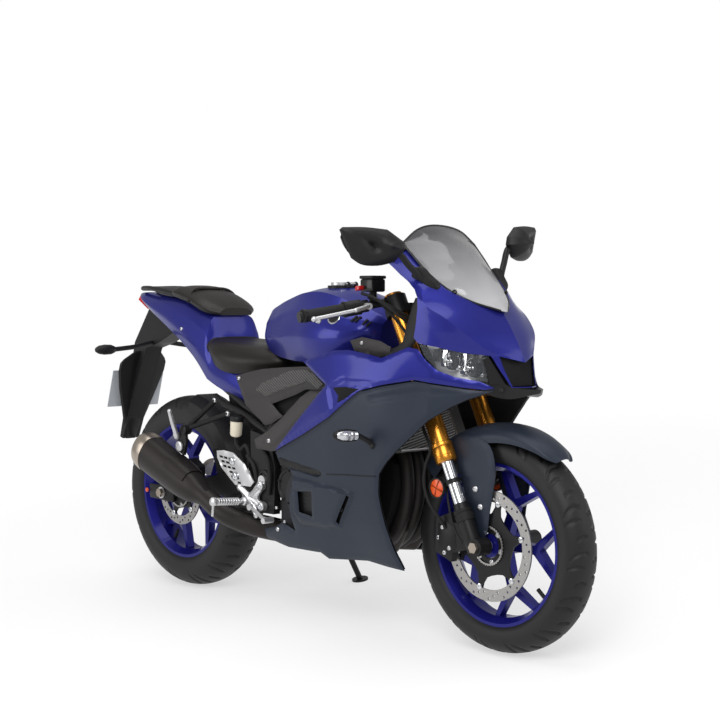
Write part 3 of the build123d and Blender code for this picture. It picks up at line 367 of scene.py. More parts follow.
# ---- geometry tools
def smooth_line(points: Sequence[Sequence[float]], per: int = 6, closed: bool = False,
                sharp: Iterable[int] = ()) -> list[Vector]:
    """A smooth line through points.

    Args:
        points: what it passes through, 2-D or 3-D.
        per: pieces per span.
        closed: whether it returns to its start.
        sharp: numbers of the points that stay corners.

    Returns:
        The points of the line, the start not repeated where closed.
    """
    pts = [Vector(p) for p in points]
    count = len(pts)
    corners = set(sharp)
    spans = count if closed else count - 1

    def slope(i: int, ahead: bool) -> Vector:
        """Direction of travel at a point.

        Args:
            i: the point's number.
            ahead: whether for the span after it, else for the one before.

        Returns:
            The direction, shorter where the line bends.
        """
        first = not closed and i == 0
        last = not closed and i == count - 1
        step_in = pts[i] - pts[i - 1]
        step_out = pts[(i + 1) % count] - pts[i]
        a, b = max(step_in.length, 1e-6), max(step_out.length, 1e-6)
        if first or (i in corners and ahead):
            return step_out / b
        if last or i in corners:
            return step_in / a
        return (step_in / a * b + step_out / b * a) / (a + b)

    line = []
    for i in range(spans):
        j = (i + 1) % count
        long = (pts[j] - pts[i]).length
        m0, m1 = slope(i, True) * long, slope(j, False) * long
        for k in range(per):
            t = k / per
            line.append(pts[i] * (2 * t**3 - 3 * t**2 + 1) + m0 * (t**3 - 2 * t**2 + t)
                        + pts[j] * (3 * t**2 - 2 * t**3) + m1 * (t**3 - t**2))
    if not closed:
        line.append(pts[-1])
    return line


def grid(rows: Sequence[Sequence[Point3]], along: int = 6, across: int = 6, sharp_across: Iterable[int] = (),
         sharp_along: Iterable[int] = (), closed: bool = False) -> list[list[Vector]]:
    """A smooth surface through rows of points.

    Args:
        rows: rows with as many points each.
        along: pieces per step from row to row.
        across: pieces per step within a row.
        sharp_across: points within a row that stay corners.
        sharp_along: rows that stay corners.
        closed: whether each row is a ring.

    Returns:
        The surface's rows of points.
    """
    fine = [smooth_line(row, across, closed, sharp_across) for row in rows]
    columns = [smooth_line(column, along, False, sharp_along) for column in zip(*fine)]
    return [list(row) for row in zip(*columns)]


@contextmanager
def edit_mesh(obj: Obj) -> Iterator[bmesh.types.BMesh]:
    """Opens an object's mesh for editing and writes it back.

    Args:
        obj: the object.

    Yields:
        The mesh in its editable form.
    """
    bm = bmesh.new()
    bm.from_mesh(obj.data)
    yield bm
    bm.to_mesh(obj.data)
    bm.free()


def mesh_object(name: str, points: Iterable[Sequence[float]], faces: Iterable[Sequence[int]]) -> Obj:
    """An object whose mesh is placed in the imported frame.

    Args:
        name: the object's name.
        points: vertices in bike millimetres.
        faces: vertex numbers of each face.

    Returns:
        The object, linked to the scene.
    """
    mesh = bpy.data.meshes.new(name)
    mesh.from_pydata([Stance.place(p) for p in points], [], list(faces))
    mesh.validate()
    obj = bpy.data.objects.new(name, mesh)
    bpy.context.scene.collection.objects.link(obj)
    return obj


def surface(name: str, rows: Sequence[Sequence[Sequence[float]]], closed: bool = False,
            caps: bool = False) -> Obj:
    """A mesh over a grid of points.

    Args:
        name: the object's name.
        rows: the grid.
        closed: whether each row is a ring.
        caps: whether the first and last rows are filled.

    Returns:
        The object.
    """
    wide = len(rows[0])
    points = [p for row in rows for p in row]
    faces = []
    for i in range(len(rows) - 1):
        for j in range(wide if closed else wide - 1):
            k = (j + 1) % wide
            faces.append((i * wide + j, i * wide + k, (i + 1) * wide + k, (i + 1) * wide + j))
    if caps:
        faces.append(tuple(range(wide)))
        faces.append(tuple(reversed(range((len(rows) - 1) * wide, len(rows) * wide))))
    return mesh_object(name, points, faces)


def capped(name: str, rows: Sequence[Sequence[Sequence[float]]]) -> Obj:
    """A closed body over rings, capped at both ends."""
    return surface(name, rows, closed=True, caps=True)


def solid_of(name: str, rows: Sequence[Sequence[Point3]], along: int = 4, across: int = 3,
             sharp_across: Iterable[int] = (), sharp_along: Iterable[int] = ()) -> Obj:
    """A smooth closed body through rings, capped at both ends; for the rest see grid."""
    return capped(name, grid(rows, along, across, sharp_across, sharp_along, closed=True))


def apply_modifiers(obj: Obj) -> Obj:
    """Replaces an object's mesh by what its modifiers make of it.

    Args:
        obj: the object.

    Returns:
        The same object.
    """
    graph = bpy.context.evaluated_depsgraph_get()
    made = bpy.data.meshes.new_from_object(obj.evaluated_get(graph))
    obj.modifiers.clear()
    obj.data = made
    return obj


def thicken(obj: Obj, wall: float, outward: float = -1.0) -> Obj:
    """Gives a surface a wall.

    Args:
        obj: the surface.
        wall: thickness in millimetres.
        outward: -1 for a wall inside the surface, 1 for one outside.

    Returns:
        The same object.
    """
    mod = obj.modifiers.new("wall", "SOLIDIFY")
    mod.thickness = wall / 1000
    mod.offset = outward
    mod.use_even_offset = False
    return apply_modifiers(obj)


def round_edges(obj: Obj, width: float, segments: int = 2, angle: float = 40.0) -> Obj:
    """Rounds the sharp edges of an object.

    Args:
        obj: the object.
        width: in millimetres.
        segments: how many faces make the round.
        angle: the least angle of an edge that is rounded, in degrees.

    Returns:
        The same object.
    """
    mod = obj.modifiers.new("round", "BEVEL")
    mod.width = width / 1000
    mod.segments = segments
    mod.limit_method = "ANGLE"
    mod.angle_limit = math.radians(angle)
    mod.use_clamp_overlap = True
    return apply_modifiers(obj)


def carve(obj: Obj, *tools: Obj, keep: Cut = Cut.OUTSIDE) -> Obj:
    """Cuts an object with closed tools, which are then deleted.

    Args:
        obj: the object.
        *tools: closed meshes.
        keep: what is left of the object.

    Returns:
        The same object.
    """
    for tool in tools:
        mod = obj.modifiers.new("cut", "BOOLEAN")
        mod.operation = keep.value
        mod.solver = "EXACT"
        mod.object = tool
        apply_modifiers(obj)
        bpy.data.objects.remove(tool)
    return obj


def soften(obj: Obj, angle: float = 35.0) -> None:
    """Shades an object smooth.

    Args:
        obj: the object.
        angle: edges sharper than this, in degrees, stay crisp.
    """
    limit = math.radians(angle)
    with edit_mesh(obj) as bm:
        bmesh.ops.recalc_face_normals(bm, faces=bm.faces)
        for face in bm.faces:
            face.smooth = True
        for edge in bm.edges:
            edge.smooth = len(edge.link_faces) == 2 and edge.calc_face_angle(0.0) < limit


def dress(obj: Obj, material: Material, body: Body = Body.CHASSIS,
          replaces: Sequence[str] = (), angle: float = 35.0) -> Obj:
    """Finishes a piece: shading, material, body and what it stands for.

    Args:
        obj: the piece.
        material: its material.
        body: the body it rides on.
        replaces: the CAD nodes that it replaces.
        angle: see soften.

    Returns:
        The piece.
    """
    soften(obj, angle)
    obj.data.materials.clear()
    obj.data.materials.append(material.material)
    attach(obj, body.value)
    if replaces:
        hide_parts(*replaces)
    log.info("placed %s on %s", obj.name, body.value)
    return obj


def prism(name: str, outline: Sequence[Point2], low: float, high: float, plane: Plane = Plane.XZ) -> Obj:
    """A closed straight block over a flat outline.

    Args:
        name: the object's name.
        outline: corners in the plane.
        low: where it starts on the third axis.
        high: where it ends.
        plane: the plane of the outline.

    Returns:
        The object.
    """
    count = len(outline)
    points = [plane.at(p, d) for d in (low, high) for p in outline]
    faces = [tuple(range(count)), tuple(reversed(range(count, 2 * count)))]
    faces += [(i, (i + 1) % count, count + (i + 1) % count, count + i) for i in range(count)]
    obj = mesh_object(name, points, faces)
    with edit_mesh(obj) as bm:
        bmesh.ops.recalc_face_normals(bm, faces=bm.faces)
    return obj


def box_of(name: str, corners: Sequence[Sequence[float]]) -> Obj:
    """A six-sided block between four corners and the four behind them."""
    return mesh_object(name, corners, [(0, 1, 2, 3), (7, 6, 5, 4), (0, 4, 5, 1), (1, 5, 6, 2), (2, 6, 7, 3),
                                       (3, 7, 4, 0)])


def join_all(parts: Sequence[Obj], name: str) -> Obj:
    """Joins several objects into one mesh.

    Args:
        parts: what to join; they are used up.
        name: the name of the result.

    Returns:
        The joined object.
    """
    bm = bmesh.new()
    for part in parts:
        bm.from_mesh(part.data)
    mesh = bpy.data.meshes.new(name)
    bm.to_mesh(mesh)
    bm.free()
    for part in parts:
        bpy.data.objects.remove(part)
    obj = bpy.data.objects.new(name, mesh)
    bpy.context.scene.collection.objects.link(obj)
    return obj


def turns(count: int) -> list[float]:
    """Even angles round a full turn."""
    return [2 * math.pi * k / count for k in range(count)]


def around(centre: Point2, radius: float, angle: float) -> Point2:
    """A point on a flat circle."""
    return centre[0] + radius * math.cos(angle), centre[1] + radius * math.sin(angle)


def disc_ring(centre: Point2, radius: float, count: int = 24) -> list[Point2]:
    """A flat circle of points."""
    return [around(centre, radius, a) for a in turns(count)]


def ring_frame(direction: Vector) -> tuple[Vector, Vector]:
    """Two directions square to a direction and to each other.

    Args:
        direction: of length 1.

    Returns:
        Both directions, of length 1.
    """
    side = Vector((0, 0, 1)) if abs(direction.z) < 0.9 else Vector((1, 0, 0))
    u = direction.cross(side).normalized()
    return u, direction.cross(u).normalized()


def tube(name: str, path: Sequence[Sequence[float]], radius: float, per: int = 8, sides: int = 14,
         sharp: Iterable[int] = ()) -> Obj:
    """A round bar or hose along a smooth path.

    Args:
        name: the object's name.
        path: points that the middle passes through, in bike millimetres.
        radius: of the bar.
        per: pieces per span.
        sides: sides of the section.
        sharp: see smooth_line.

    Returns:
        The object.
    """
    line = smooth_line(path, per, sharp=sharp)
    ahead = (line[1] - line[0]).normalized()
    u, _ = ring_frame(ahead)
    rows = []
    for i, p in enumerate(line):
        step = (line[min(i + 1, len(line) - 1)] - line[max(i - 1, 0)]).normalized()
        u = (u - step * u.dot(step)).normalized()
        v = step.cross(u)
        rows.append([p + u * radius * math.cos(a) + v * radius * math.sin(a) for a in turns(sides)])
    return capped(name, rows)


LEAST_RADIUS = 0.01


def turned(name: str, profile: Sequence[Point2], start: Sequence[float], axis: Sequence[float],
           sides: int = 48, solid: bool = False) -> Obj:
    """A body of revolution.

    Args:
        name: the object's name.
        profile: (distance along the axis, radius) pairs.
        start: where the axis starts.
        axis: its direction.
        sides: pieces around.
        solid: whether the profile is closed on itself, as for a ring.

    Returns:
        The object.
    """
    ahead = Vector(axis).normalized()
    u, v = ring_frame(ahead)
    base = Vector(start)
    pairs = list(profile) + ([profile[0]] if solid else [])
    rows = [[base + ahead * d + (u * math.cos(a) + v * math.sin(a)) * max(r, LEAST_RADIUS)
             for a in turns(sides)] for d, r in pairs]
    obj = surface(name, rows, closed=True, caps=not solid)
    if solid:
        with edit_mesh(obj) as bm:
            bmesh.ops.remove_doubles(bm, verts=bm.verts, dist=1e-7)
    return obj


def edge_distance(p: Vector, outline: Sequence[Vector]) -> float:
    """The distance from a flat point to a closed outline.

    Args:
        p: the point.
        outline: the outline's corners.

    Returns:
        The distance to its nearest edge.
    """
    best = 1e9
    for i, a in enumerate(outline):
        b = outline[(i + 1) % len(outline)]
        ab = b - a
        t = max(0.0, min(1.0, (p - a).dot(ab) / max(ab.length_squared, 1e-9)))
        best = min(best, (a + ab * t - p).length)
    return best


def inside(p: Vector, outline: Sequence[Vector]) -> bool:
    """Whether a flat point is inside a closed outline.

    Args:
        p: the point.
        outline: the outline's corners.

    Returns:
        True where it is inside.
    """
    hit = False
    for i, a in enumerate(outline):
        b = outline[(i + 1) % len(outline)]
        if (a.y > p.y) != (b.y > p.y) and p.x < (b.x - a.x) * (p.y - a.y) / (b.y - a.y) + a.x:
            hit = not hit
    return hit


def soft_step(value: float) -> float:
    """0 to 1 with level ends."""
    t = max(0.0, min(1.0, value))
    return t * t * (3 - 2 * t)


@dataclass(frozen=True)
class Relief:
    """A part of a panel that is raised or sunk inside an outline."""

    outline: Sequence[Point2]
    height: float
    slope: float = 6.0

    def at(self, p: Vector) -> float:
        """The height added at a flat point.

        Args:
            p: the point.

        Returns:
            The height in millimetres, 0 outside the outline.
        """
        ring = [Vector(q) for q in self.outline]
        if not inside(p, ring):
            return 0.0
        return self.height * soft_step(edge_distance(p, ring) / self.slope)


def panel(name: str, outline: Sequence[Point2], depth: Width, side: Side,
          holes: Sequence[Sequence[Point2]] = (), reliefs: Sequence[Relief] = (), wall: float = 3.0,
          pitch: float = 9.0, roll: float = 4.0, roll_width: float = 9.0) -> Obj:
    """A curved side panel, cut to an outline in side view, with rolled edges.

    Args:
        name: the object's name.
        outline: corners in x and z.
        depth: distance from the middle plane at x and z.
        side: the side that it is on.
        holes: outlines of openings.
        reliefs: raised or sunk areas.
        wall: thickness.
        pitch: size of the mesh's faces.
        roll: how far an edge turns inward.
        roll_width: over what width.

    Returns:
        The object.
    """
    rings = [[Vector(p) for p in ring] for ring in (outline, *holes)]
    points: list[Vector] = []
    edges: list[tuple[int, int]] = []
    for ring in rings + [[Vector(q) for q in r.outline] for r in reliefs]:
        start = len(points)
        for i, a in enumerate(ring):
            b = ring[(i + 1) % len(ring)]
            steps = max(1, round((b - a).length / pitch))
            points += [a.lerp(b, k / steps) for k in range(steps)]
        count = len(points) - start
        edges += [(start + i, start + (i + 1) % count) for i in range(count)]
    xs, zs = [p.x for p in rings[0]], [p.y for p in rings[0]]
    for i in range(int((max(xs) - min(xs)) / pitch) + 1):
        for j in range(int((max(zs) - min(zs)) / pitch) + 1):
            p = Vector((min(xs) + (i + 0.5 * (j % 2)) * pitch, min(zs) + j * pitch))
            if inside(p, rings[0]) and min(edge_distance(p, r) for r in rings) > pitch * 0.45:
                points.append(p)
    flat, _, faces, *_ = delaunay_2d_cdt(points, edges, [], 0, 0.01)
    kept = []
    for face in faces:
        middle = sum((flat[i] for i in face), Vector((0, 0))) / len(face)
        if inside(middle, rings[0]) and not any(inside(middle, hole) for hole in rings[1:]):
            kept.append(face)

    def lift(p: Vector) -> Point3:
        """A flat point on the panel.

        Args:
            p: the point in side view.

        Returns:
            Its place on the bike.
        """
        near = min(edge_distance(p, ring) for ring in rings)
        raised = sum(r.at(p) for r in reliefs)
        drop = roll * (1 - soft_step(near / roll_width)) ** 2
        return p.x, side * (depth(p.x, p.y) + raised - drop), p.y

    obj = mesh_object(name, [lift(p) for p in flat], kept)
    soften(obj)
    outward = Stance.place((0, side, 0)) - Stance.place((0, 0, 0))
    with edit_mesh(obj) as bm:
        loose = [v for v in bm.verts if not v.link_faces]
        bmesh.ops.delete(bm, geom=loose, context="VERTS")
        bmesh.ops.recalc_face_normals(bm, faces=bm.faces)
        if sum((f.normal.dot(outward) * f.calc_area() for f in bm.faces), 0.0) < 0:
            bmesh.ops.reverse_faces(bm, faces=bm.faces)
    return thicken(obj, wall)


def bolt(at: Sequence[float], axis: Sequence[float], radius: float, height: float, material: Material,
         body: Body = Body.CHASSIS) -> None:
    """A round-headed screw with a recess.

    Args:
        at: middle of its seat.
        axis: the way the head points.
        radius: of the head.
        height: of the head.
        material: of the screw.
        body: the body it rides on.
    """
    profile = [(-1.0, radius), (height * 0.45, radius), (height * 0.85, radius * 0.82),
               (height, radius * 0.55), (height, radius * 0.45), (height * 0.4, radius * 0.42)]
    dress(turned("bolt", profile, at, axis, sides=20), material, body)


def bilinear(xs: Sequence[float], zs: Sequence[float], table: Sequence[Sequence[float]]) -> Width:
    """A smooth function over a table of heights.

    Args:
        xs: the table's x values.
        zs: its z values.
        table: one row for each x.

    Returns:
        A function of x and z.
    """
    def weights(values: Sequence[float], at: float) -> list[tuple[int, float]]:
        """Cubic weights of the four values about a place.

        Args:
            values: the places of the table's entries.
            at: the place.

        Returns:
            The number and the weight of each of the four.
        """
        at = max(values[0], min(values[-1], at))
        i = max(k for k in range(len(values) - 1) if values[k] <= at)
        t = (at - values[i]) / (values[i + 1] - values[i])
        spread = ((-t + 2 * t**2 - t**3) / 2, (2 - 5 * t**2 + 3 * t**3) / 2, (t + 4 * t**2 - 3 * t**3) / 2,
                  (t**3 - t**2) / 2)
        return [(max(0, min(len(values) - 1, i - 1 + k)), w) for k, w in enumerate(spread)]

    def height(x: float, z: float) -> float:
        """The table's value between its entries."""
        return sum(a * b * table[i][j] for i, a in weights(xs, x) for j, b in weights(zs, z))

    return height


# ---- parts of the bike
@dataclass
class Assembly:
    """A part of the bike that builds and dresses its own pieces. Its sizes are fields."""

    f: Finish

    def build(self) -> None:
        """Every piece of this part."""
        raise NotImplementedError


@dataclass
class Nose(Assembly):
    """Nose cowl, screen, headlamps and the intake between them.

    A row of the cowl is z, then half a level cut: ridge, middle of the front, crease, flank, rear edge.
    """

    cowl_rows: Rows = (
        (712, (785, 0), (772, 26), (756, 50), (690, 118), (612, 160), (530, 176)),
        (755, (772, 0), (756, 32), (734, 67), (684, 112), (610, 160), (526, 178)),
        (795, (751, 0), (742, 34), (728, 69), (676, 112), (600, 158), (522, 180)),
        (815, (741, 0), (728, 48), (706, 97), (664, 130), (600, 162), (522, 181)),
        (853, (719, 0), (702, 68), (674, 135), (632, 156), (580, 171), (526, 181)),
        (896, (690, 0), (666, 82), (623, 162), (596, 170), (566, 177), (534, 181)),
        (940, (656, 0), (626, 92), (557, 179), (551, 180), (545, 181), (538, 181.5)),
        (980, (620, 0), (594, 90), (538, 166), (530, 171), (522, 175), (514, 178)),
        (1024, (576, 0), (556, 84), (488, 152), (475, 160), (461, 167), (448, 172)),
        (1070, (528, 0), (510, 80), (432, 150), (417, 155), (402, 158), (388, 161)),
        (1112, (483, 0), (466, 66), (424, 138), (414, 142), (404, 146), (392, 150)),
        (1154, (436, 0), (418, 64), (384, 128), (380, 130), (376, 132), (372, 134)),
    )
    lamp: Outline = ((538, 828), (590, 818), (661, 803), (696, 793), (711, 778), (724, 730), (690, 731),
                     (647, 738), (596, 757), (556, 790))
    post: Outline = ((712, 797), (757, 711))
    glass: Outline = ((443, 1100), (480, 1062), (518, 1024), (579, 974), (633, 940), (683, 915))
    screen_rows: Rows = (
        ((694, 0, 913), (691, 7, 913), (685, 14, 915)),
        ((662, 0, 942), (654, 40, 941), (633, 74, 940)),
        ((630, 0, 977), (620, 58, 976), (579, 110, 974)),
        ((578, 0, 1029), (566, 66, 1027), (518, 131, 1024)),
        ((538, 0, 1069), (522, 72, 1067), (480, 138, 1062)),
        ((500, 0, 1107), (484, 74, 1101), (445, 140.5, 1098)),
        ((464, 0, 1131), (462, 76, 1117), (444, 140.2, 1099.5)),
        ((432, 0, 1151), (441, 88, 1135), (443, 140, 1101)),
    )
    mouth: Outline = ((-68, 796), (0, 779), (68, 796), (47, 716), (-47, 716))

    def skin(self, inset: float = 0.0) -> list[list[Vector]]:
        """The whole outer surface of the nose, screen included.

        Args:
            inset: how far it is drawn in.

        Returns:
            The surface's rows of points.
        """
        rows = []
        for z, *half in self.cowl_rows:
            right = [(x - inset, -max(y - inset, 0), z) for x, y in reversed(half)]
            left = [(x - inset, max(y - inset, 0), z) for x, y in half[1:]]
            rows.append(right + left)
        return grid(rows, along=5, across=6, sharp_across=(3, 5, 7))

    def cowl(self) -> None:
        """The painted cowl, cut for the lamps, the screen and the intake."""
        shell = thicken(surface("nose_shell", self.skin()), 3.0)
        glass = [(700, 906), *reversed(self.glass), (400, 1141), (380, 1165), (380, 1300), (800, 1300),
                 (800, 906)]
        below = [(500, 843), (524, 843), (538, 829), (590, 820), (661, 804), *self.post, (757, 650),
                 (500, 650)]
        tools = [prism("cut_glass", glass, -260, 260), prism("cut_intake", self.mouth, 600, 900, Plane.YZ)]
        tools += [prism("cut_below", below, *side.span(47, 260)) for side in Side]
        tools.append(prism("cut_chin", [(600, 714), (900, 714), (900, 640), (600, 640)], -260, 260))
        rear = [(300, 1300), (500, 1300), (446, 1104), (392, 1061), (389, 1058), (430, 1028), (470, 1008),
                (500, 992), (524, 972), (538, 948), (534, 890), (524, 843), (300, 843)]
        tools.append(prism("cut_rear", rear, -260, 260))
        dress(carve(shell, *tools), self.f.blue, replaces=["nose_cowl"], angle=22)

    def windscreen(self) -> None:
        """The tinted screen, with a dark bead along its edge."""
        rows = [[(x, -y, z) for x, y, z in reversed(half)] + [(x, y, z) for x, y, z in half[1:]]
                for half in self.screen_rows]
        fine = grid(rows, 6, 8)
        dress(thicken(surface("screen_sheet", fine), 2.5), self.f.screen,
              replaces=["windscreen"], angle=40)
        rim = [row[0] for row in fine] + fine[-1][1:-1] + [row[-1] for row in reversed(fine)]
        dress(tube("screen_bead", rim, 2.6, per=1, sides=8), self.f.gloss_black)

    def lamps(self) -> None:
        """Clear covers, with a bright metal bowl and silver reflectors behind them."""
        for side in Side:
            where = side.word
            cover = thicken(surface(f"lamp_cover_{where}", self.skin(2.0)), 2.0)
            limits = side.span(58, 200)
            carve(cover, prism("keep_lamp", self.lamp, *limits), keep=Cut.INSIDE)
            dress(cover, self.f.lens, replaces=["headlamps"])
            bowl = thicken(surface(f"lamp_bowl_{where}", self.skin(34.0)), 3.0)
            mask = [(520, 850), (700, 815), (770, 712), (640, 715), (560, 760)]
            carve(bowl, prism("keep_bowl", mask, *side.span(50, 200)), keep=Cut.INSIDE)
            dress(bowl, self.f.bright)
            for x, z, y, r in ((676, 764, 104, 26), (628, 782, 138, 25)):
                aim = (0.9, side * 0.35, 0.1)
                dish = [(-16, 4), (-15, 8), (-10, 16), (-2, r * 0.86), (3, r), (4, r), (4, r + 1.5),
                        (-14, r * 0.8)]
                dish = turned(f"lamp_dish_{where}_{x}", dish, (x - 14, side * (y - 10), z), aim)
                dress(dish, self.f.mirror)
                bulb = [(0, 5), (10, 6), (15, 5), (17, 2)]
                bulb = turned(f"lamp_bulb_{where}_{x}", bulb, (x - 28, side * (y - 16), z - 1), aim, sides=20)
                dress(bulb, self.f.chrome)

    def intake(self) -> None:
        """The near-black duct between the lamps, painted shade in the opening, and the black chin under it.
        """
        lips = (720, 742, 720, 744, 744)
        rows = [[(x - back, y * k, 757 + (z - 757) * k) for (y, z), x in zip(self.mouth, lips)]
                for back, k in ((0, 0.98), (40, 0.95), (120, 0.85))]
        dress(capped("intake_duct", rows), self.f.void)
        under = [(668, 724), (700, 716), (744, 712), (744, 704), (700, 708), (668, 714)]
        dress(prism("nose_floor", under, -70, 70), self.f.black)

    def build(self) -> None:
        """Every piece of the nose."""
        self.cowl()
        self.windscreen()
        self.lamps()
        self.intake()


# ---- tank, tail and seats
def full_row(row: Sequence) -> list[Point3]:
    """A whole ring from one half of a body's cross section.

    Args:
        row: a row as in Upper.

    Returns:
        The ring's points.
    """
    x, *half, top = row
    right = [(x, -y, z) for y, z in half]
    left = [(x, y, z) for y, z in reversed(half)]
    return right + [(x, 0.0, top)] + left


def body_rows(table: Sequence, along: int = 6, across: int = 6, sharp: Iterable[int] = (),
              sharp_along: Iterable[int] = ()) -> list[list[Vector]]:
    """A smooth body through cross sections, open along its underside."""
    return grid([full_row(row) for row in table], along, across, sharp, sharp_along)


def on_body(rows: Sequence[Sequence[Vector]], near: Point3) -> tuple[Vector, Vector]:
    """The nearest point of a surface to a place.

    Args:
        rows: the surface's rows of points.
        near: the place.

    Returns:
        The point and the direction that the surface faces there.
    """
    target = Vector(near)
    i, j = min(((i, j) for i in range(1, len(rows) - 1) for j in range(1, len(rows[0]) - 1)),
               key=lambda ij: (rows[ij[0]][ij[1]] - target).length)
    normal = (rows[i + 1][j] - rows[i - 1][j]).cross(rows[i][j + 1] - rows[i][j - 1]).normalized()
    if normal.dot(Vector((0, rows[i][j].y, rows[i][j].z - 800))) < 0:
        normal = -normal
    return rows[i][j], normal


@dataclass
class Upper(Assembly):
    """Tank, tail and seats.

    A row is x, then (half width, z) from the lower edge up, and the top at the middle.
    """

    tank_rows: Rows = (
        (-240, (44, 806), (62, 826), (60, 862), (46, 892), 913),
        (-226, (66, 797), (80, 826), (74, 872), (54, 906), 926),
        (-170, (84, 778), (100, 828), (92, 886), (66, 930), 945),
        (-100, (104, 769), (122, 842), (104, 906), (78, 950), 962),
        (-20, (124, 764), (142, 848), (122, 912), (92, 966), 981),
        (50, (140, 765), (158, 850), (136, 910), (96, 968), 982),
        (120, (150, 770), (162, 852), (142, 906), (98, 956), 976),
        (200, (142, 790), (150, 856), (128, 894), (88, 930), 950),
        (262, (98, 802), (112, 856), (98, 884), (68, 904), 918),
        (284, (66, 806), (74, 850), (66, 874), (50, 888), 896),
    )
    tail_rows: Rows = (
        (-284, (104, 626), (118, 652), (116, 690), (112, 711), 712),
        (-370, (110, 652), (120, 690), (116, 722), (104, 744), 748),
        (-470, (106, 686), (113, 730), (106, 776), (80, 800), 806),
        (-490, (104, 694), (112, 750), (106, 836), (78, 888), 898),
        (-560, (98, 755), (108, 802), (100, 872), (70, 912), 922),
        (-640, (90, 806), (101, 846), (92, 900), (70, 938), 946),
        (-750, (78, 862), (88, 892), (80, 932), (60, 956), 962),
        (-860, (62, 912), (70, 926), (62, 950), (44, 966), 970),
        (-930, (44, 944), (50, 950), (44, 962), (32, 969), 971),
        (-962, (24, 955), (30, 960), (26, 967), (18, 970), 971),
    )
    rider_rows: Rows = (
        (-140, (30, 752), (44, 762), (36, 770), (20, 773), 774),
        (-156, (62, 736), (74, 756), (62, 776), (34, 784), 787),
        (-230, (106, 726), (116, 756), (92, 790), (52, 802), 804),
        (-330, (126, 716), (136, 760), (108, 800), (56, 808), 809),
        (-420, (122, 736), (132, 782), (108, 812), (60, 817), 817),
        (-476, (104, 778), (112, 800), (92, 818), (54, 823), 824),
    )
    pillion_rows: Rows = (
        (-470, (58, 896), (64, 902), (54, 912), (30, 918), 919),
        (-500, (88, 902), (96, 912), (78, 928), (44, 936), 938),
        (-600, (96, 938), (104, 952), (84, 968), (48, 976), 978),
        (-690, (90, 956), (96, 968), (78, 980), (46, 985), 986),
        (-700, (86, 956), (90, 964), (72, 973), (44, 978), 978),
        (-790, (70, 964), (74, 974), (60, 984), (36, 988), 989),
        (-858, (40, 972), (44, 978), (36, 985), (22, 988), 989),
    )

    @classmethod
    def tank_surface(cls) -> list[list[Vector]]:
        """The tank's smooth rows."""
        return body_rows(cls.tank_rows, 6, 7, sharp=(0, 2, 3, 5, 6, 8))

    def tank(self) -> None:
        """The fuel tank with a plain disc on each side."""
        rows = Upper.tank_surface()
        dress(capped("tank_skin", rows), self.f.blue, replaces=["fuel_tank"], angle=24)
        for side in Side:
            spot, facing = on_body(rows, (160, side * 136, 893))
            disc = [(-2, 21), (1.5, 21), (2.2, 20), (2.2, 17), (1.2, 16.5), (1.2, 0)]
            dress(turned(f"tank_disc_{int(side)}", disc, spot, facing), self.f.chrome)
            face = [(0, 16.4), (1.8, 16.4), (2.4, 14), (2.6, 0)]
            dress(turned(f"tank_disc_face_{int(side)}", face, spot, facing), self.f.black)

    def tail(self) -> None:
        """The tail cowl under the seats."""
        rows = body_rows(self.tail_rows, 6, 6, sharp=(0, 2, 6, 8), sharp_along=(3,))
        dress(capped("tail_skin", rows), self.f.blue, replaces=["tail_cowl"], angle=26)

    def seats(self) -> None:
        """The cushions of both seats."""
        for name, table, node in (("rider_cushion", self.rider_rows, "rider_seat"),
                                  ("pillion_cushion", self.pillion_rows, "pillion_seat")):
            rows = body_rows(table, 6, 7)
            cushion = capped(name, rows)
            round_edges(cushion, 5, 3, 60)
            dress(cushion, self.f.seat, replaces=[node], angle=50)

    def build(self) -> None:
        """Every piece of the upper body."""
        self.tank()
        self.tail()
        self.seats()


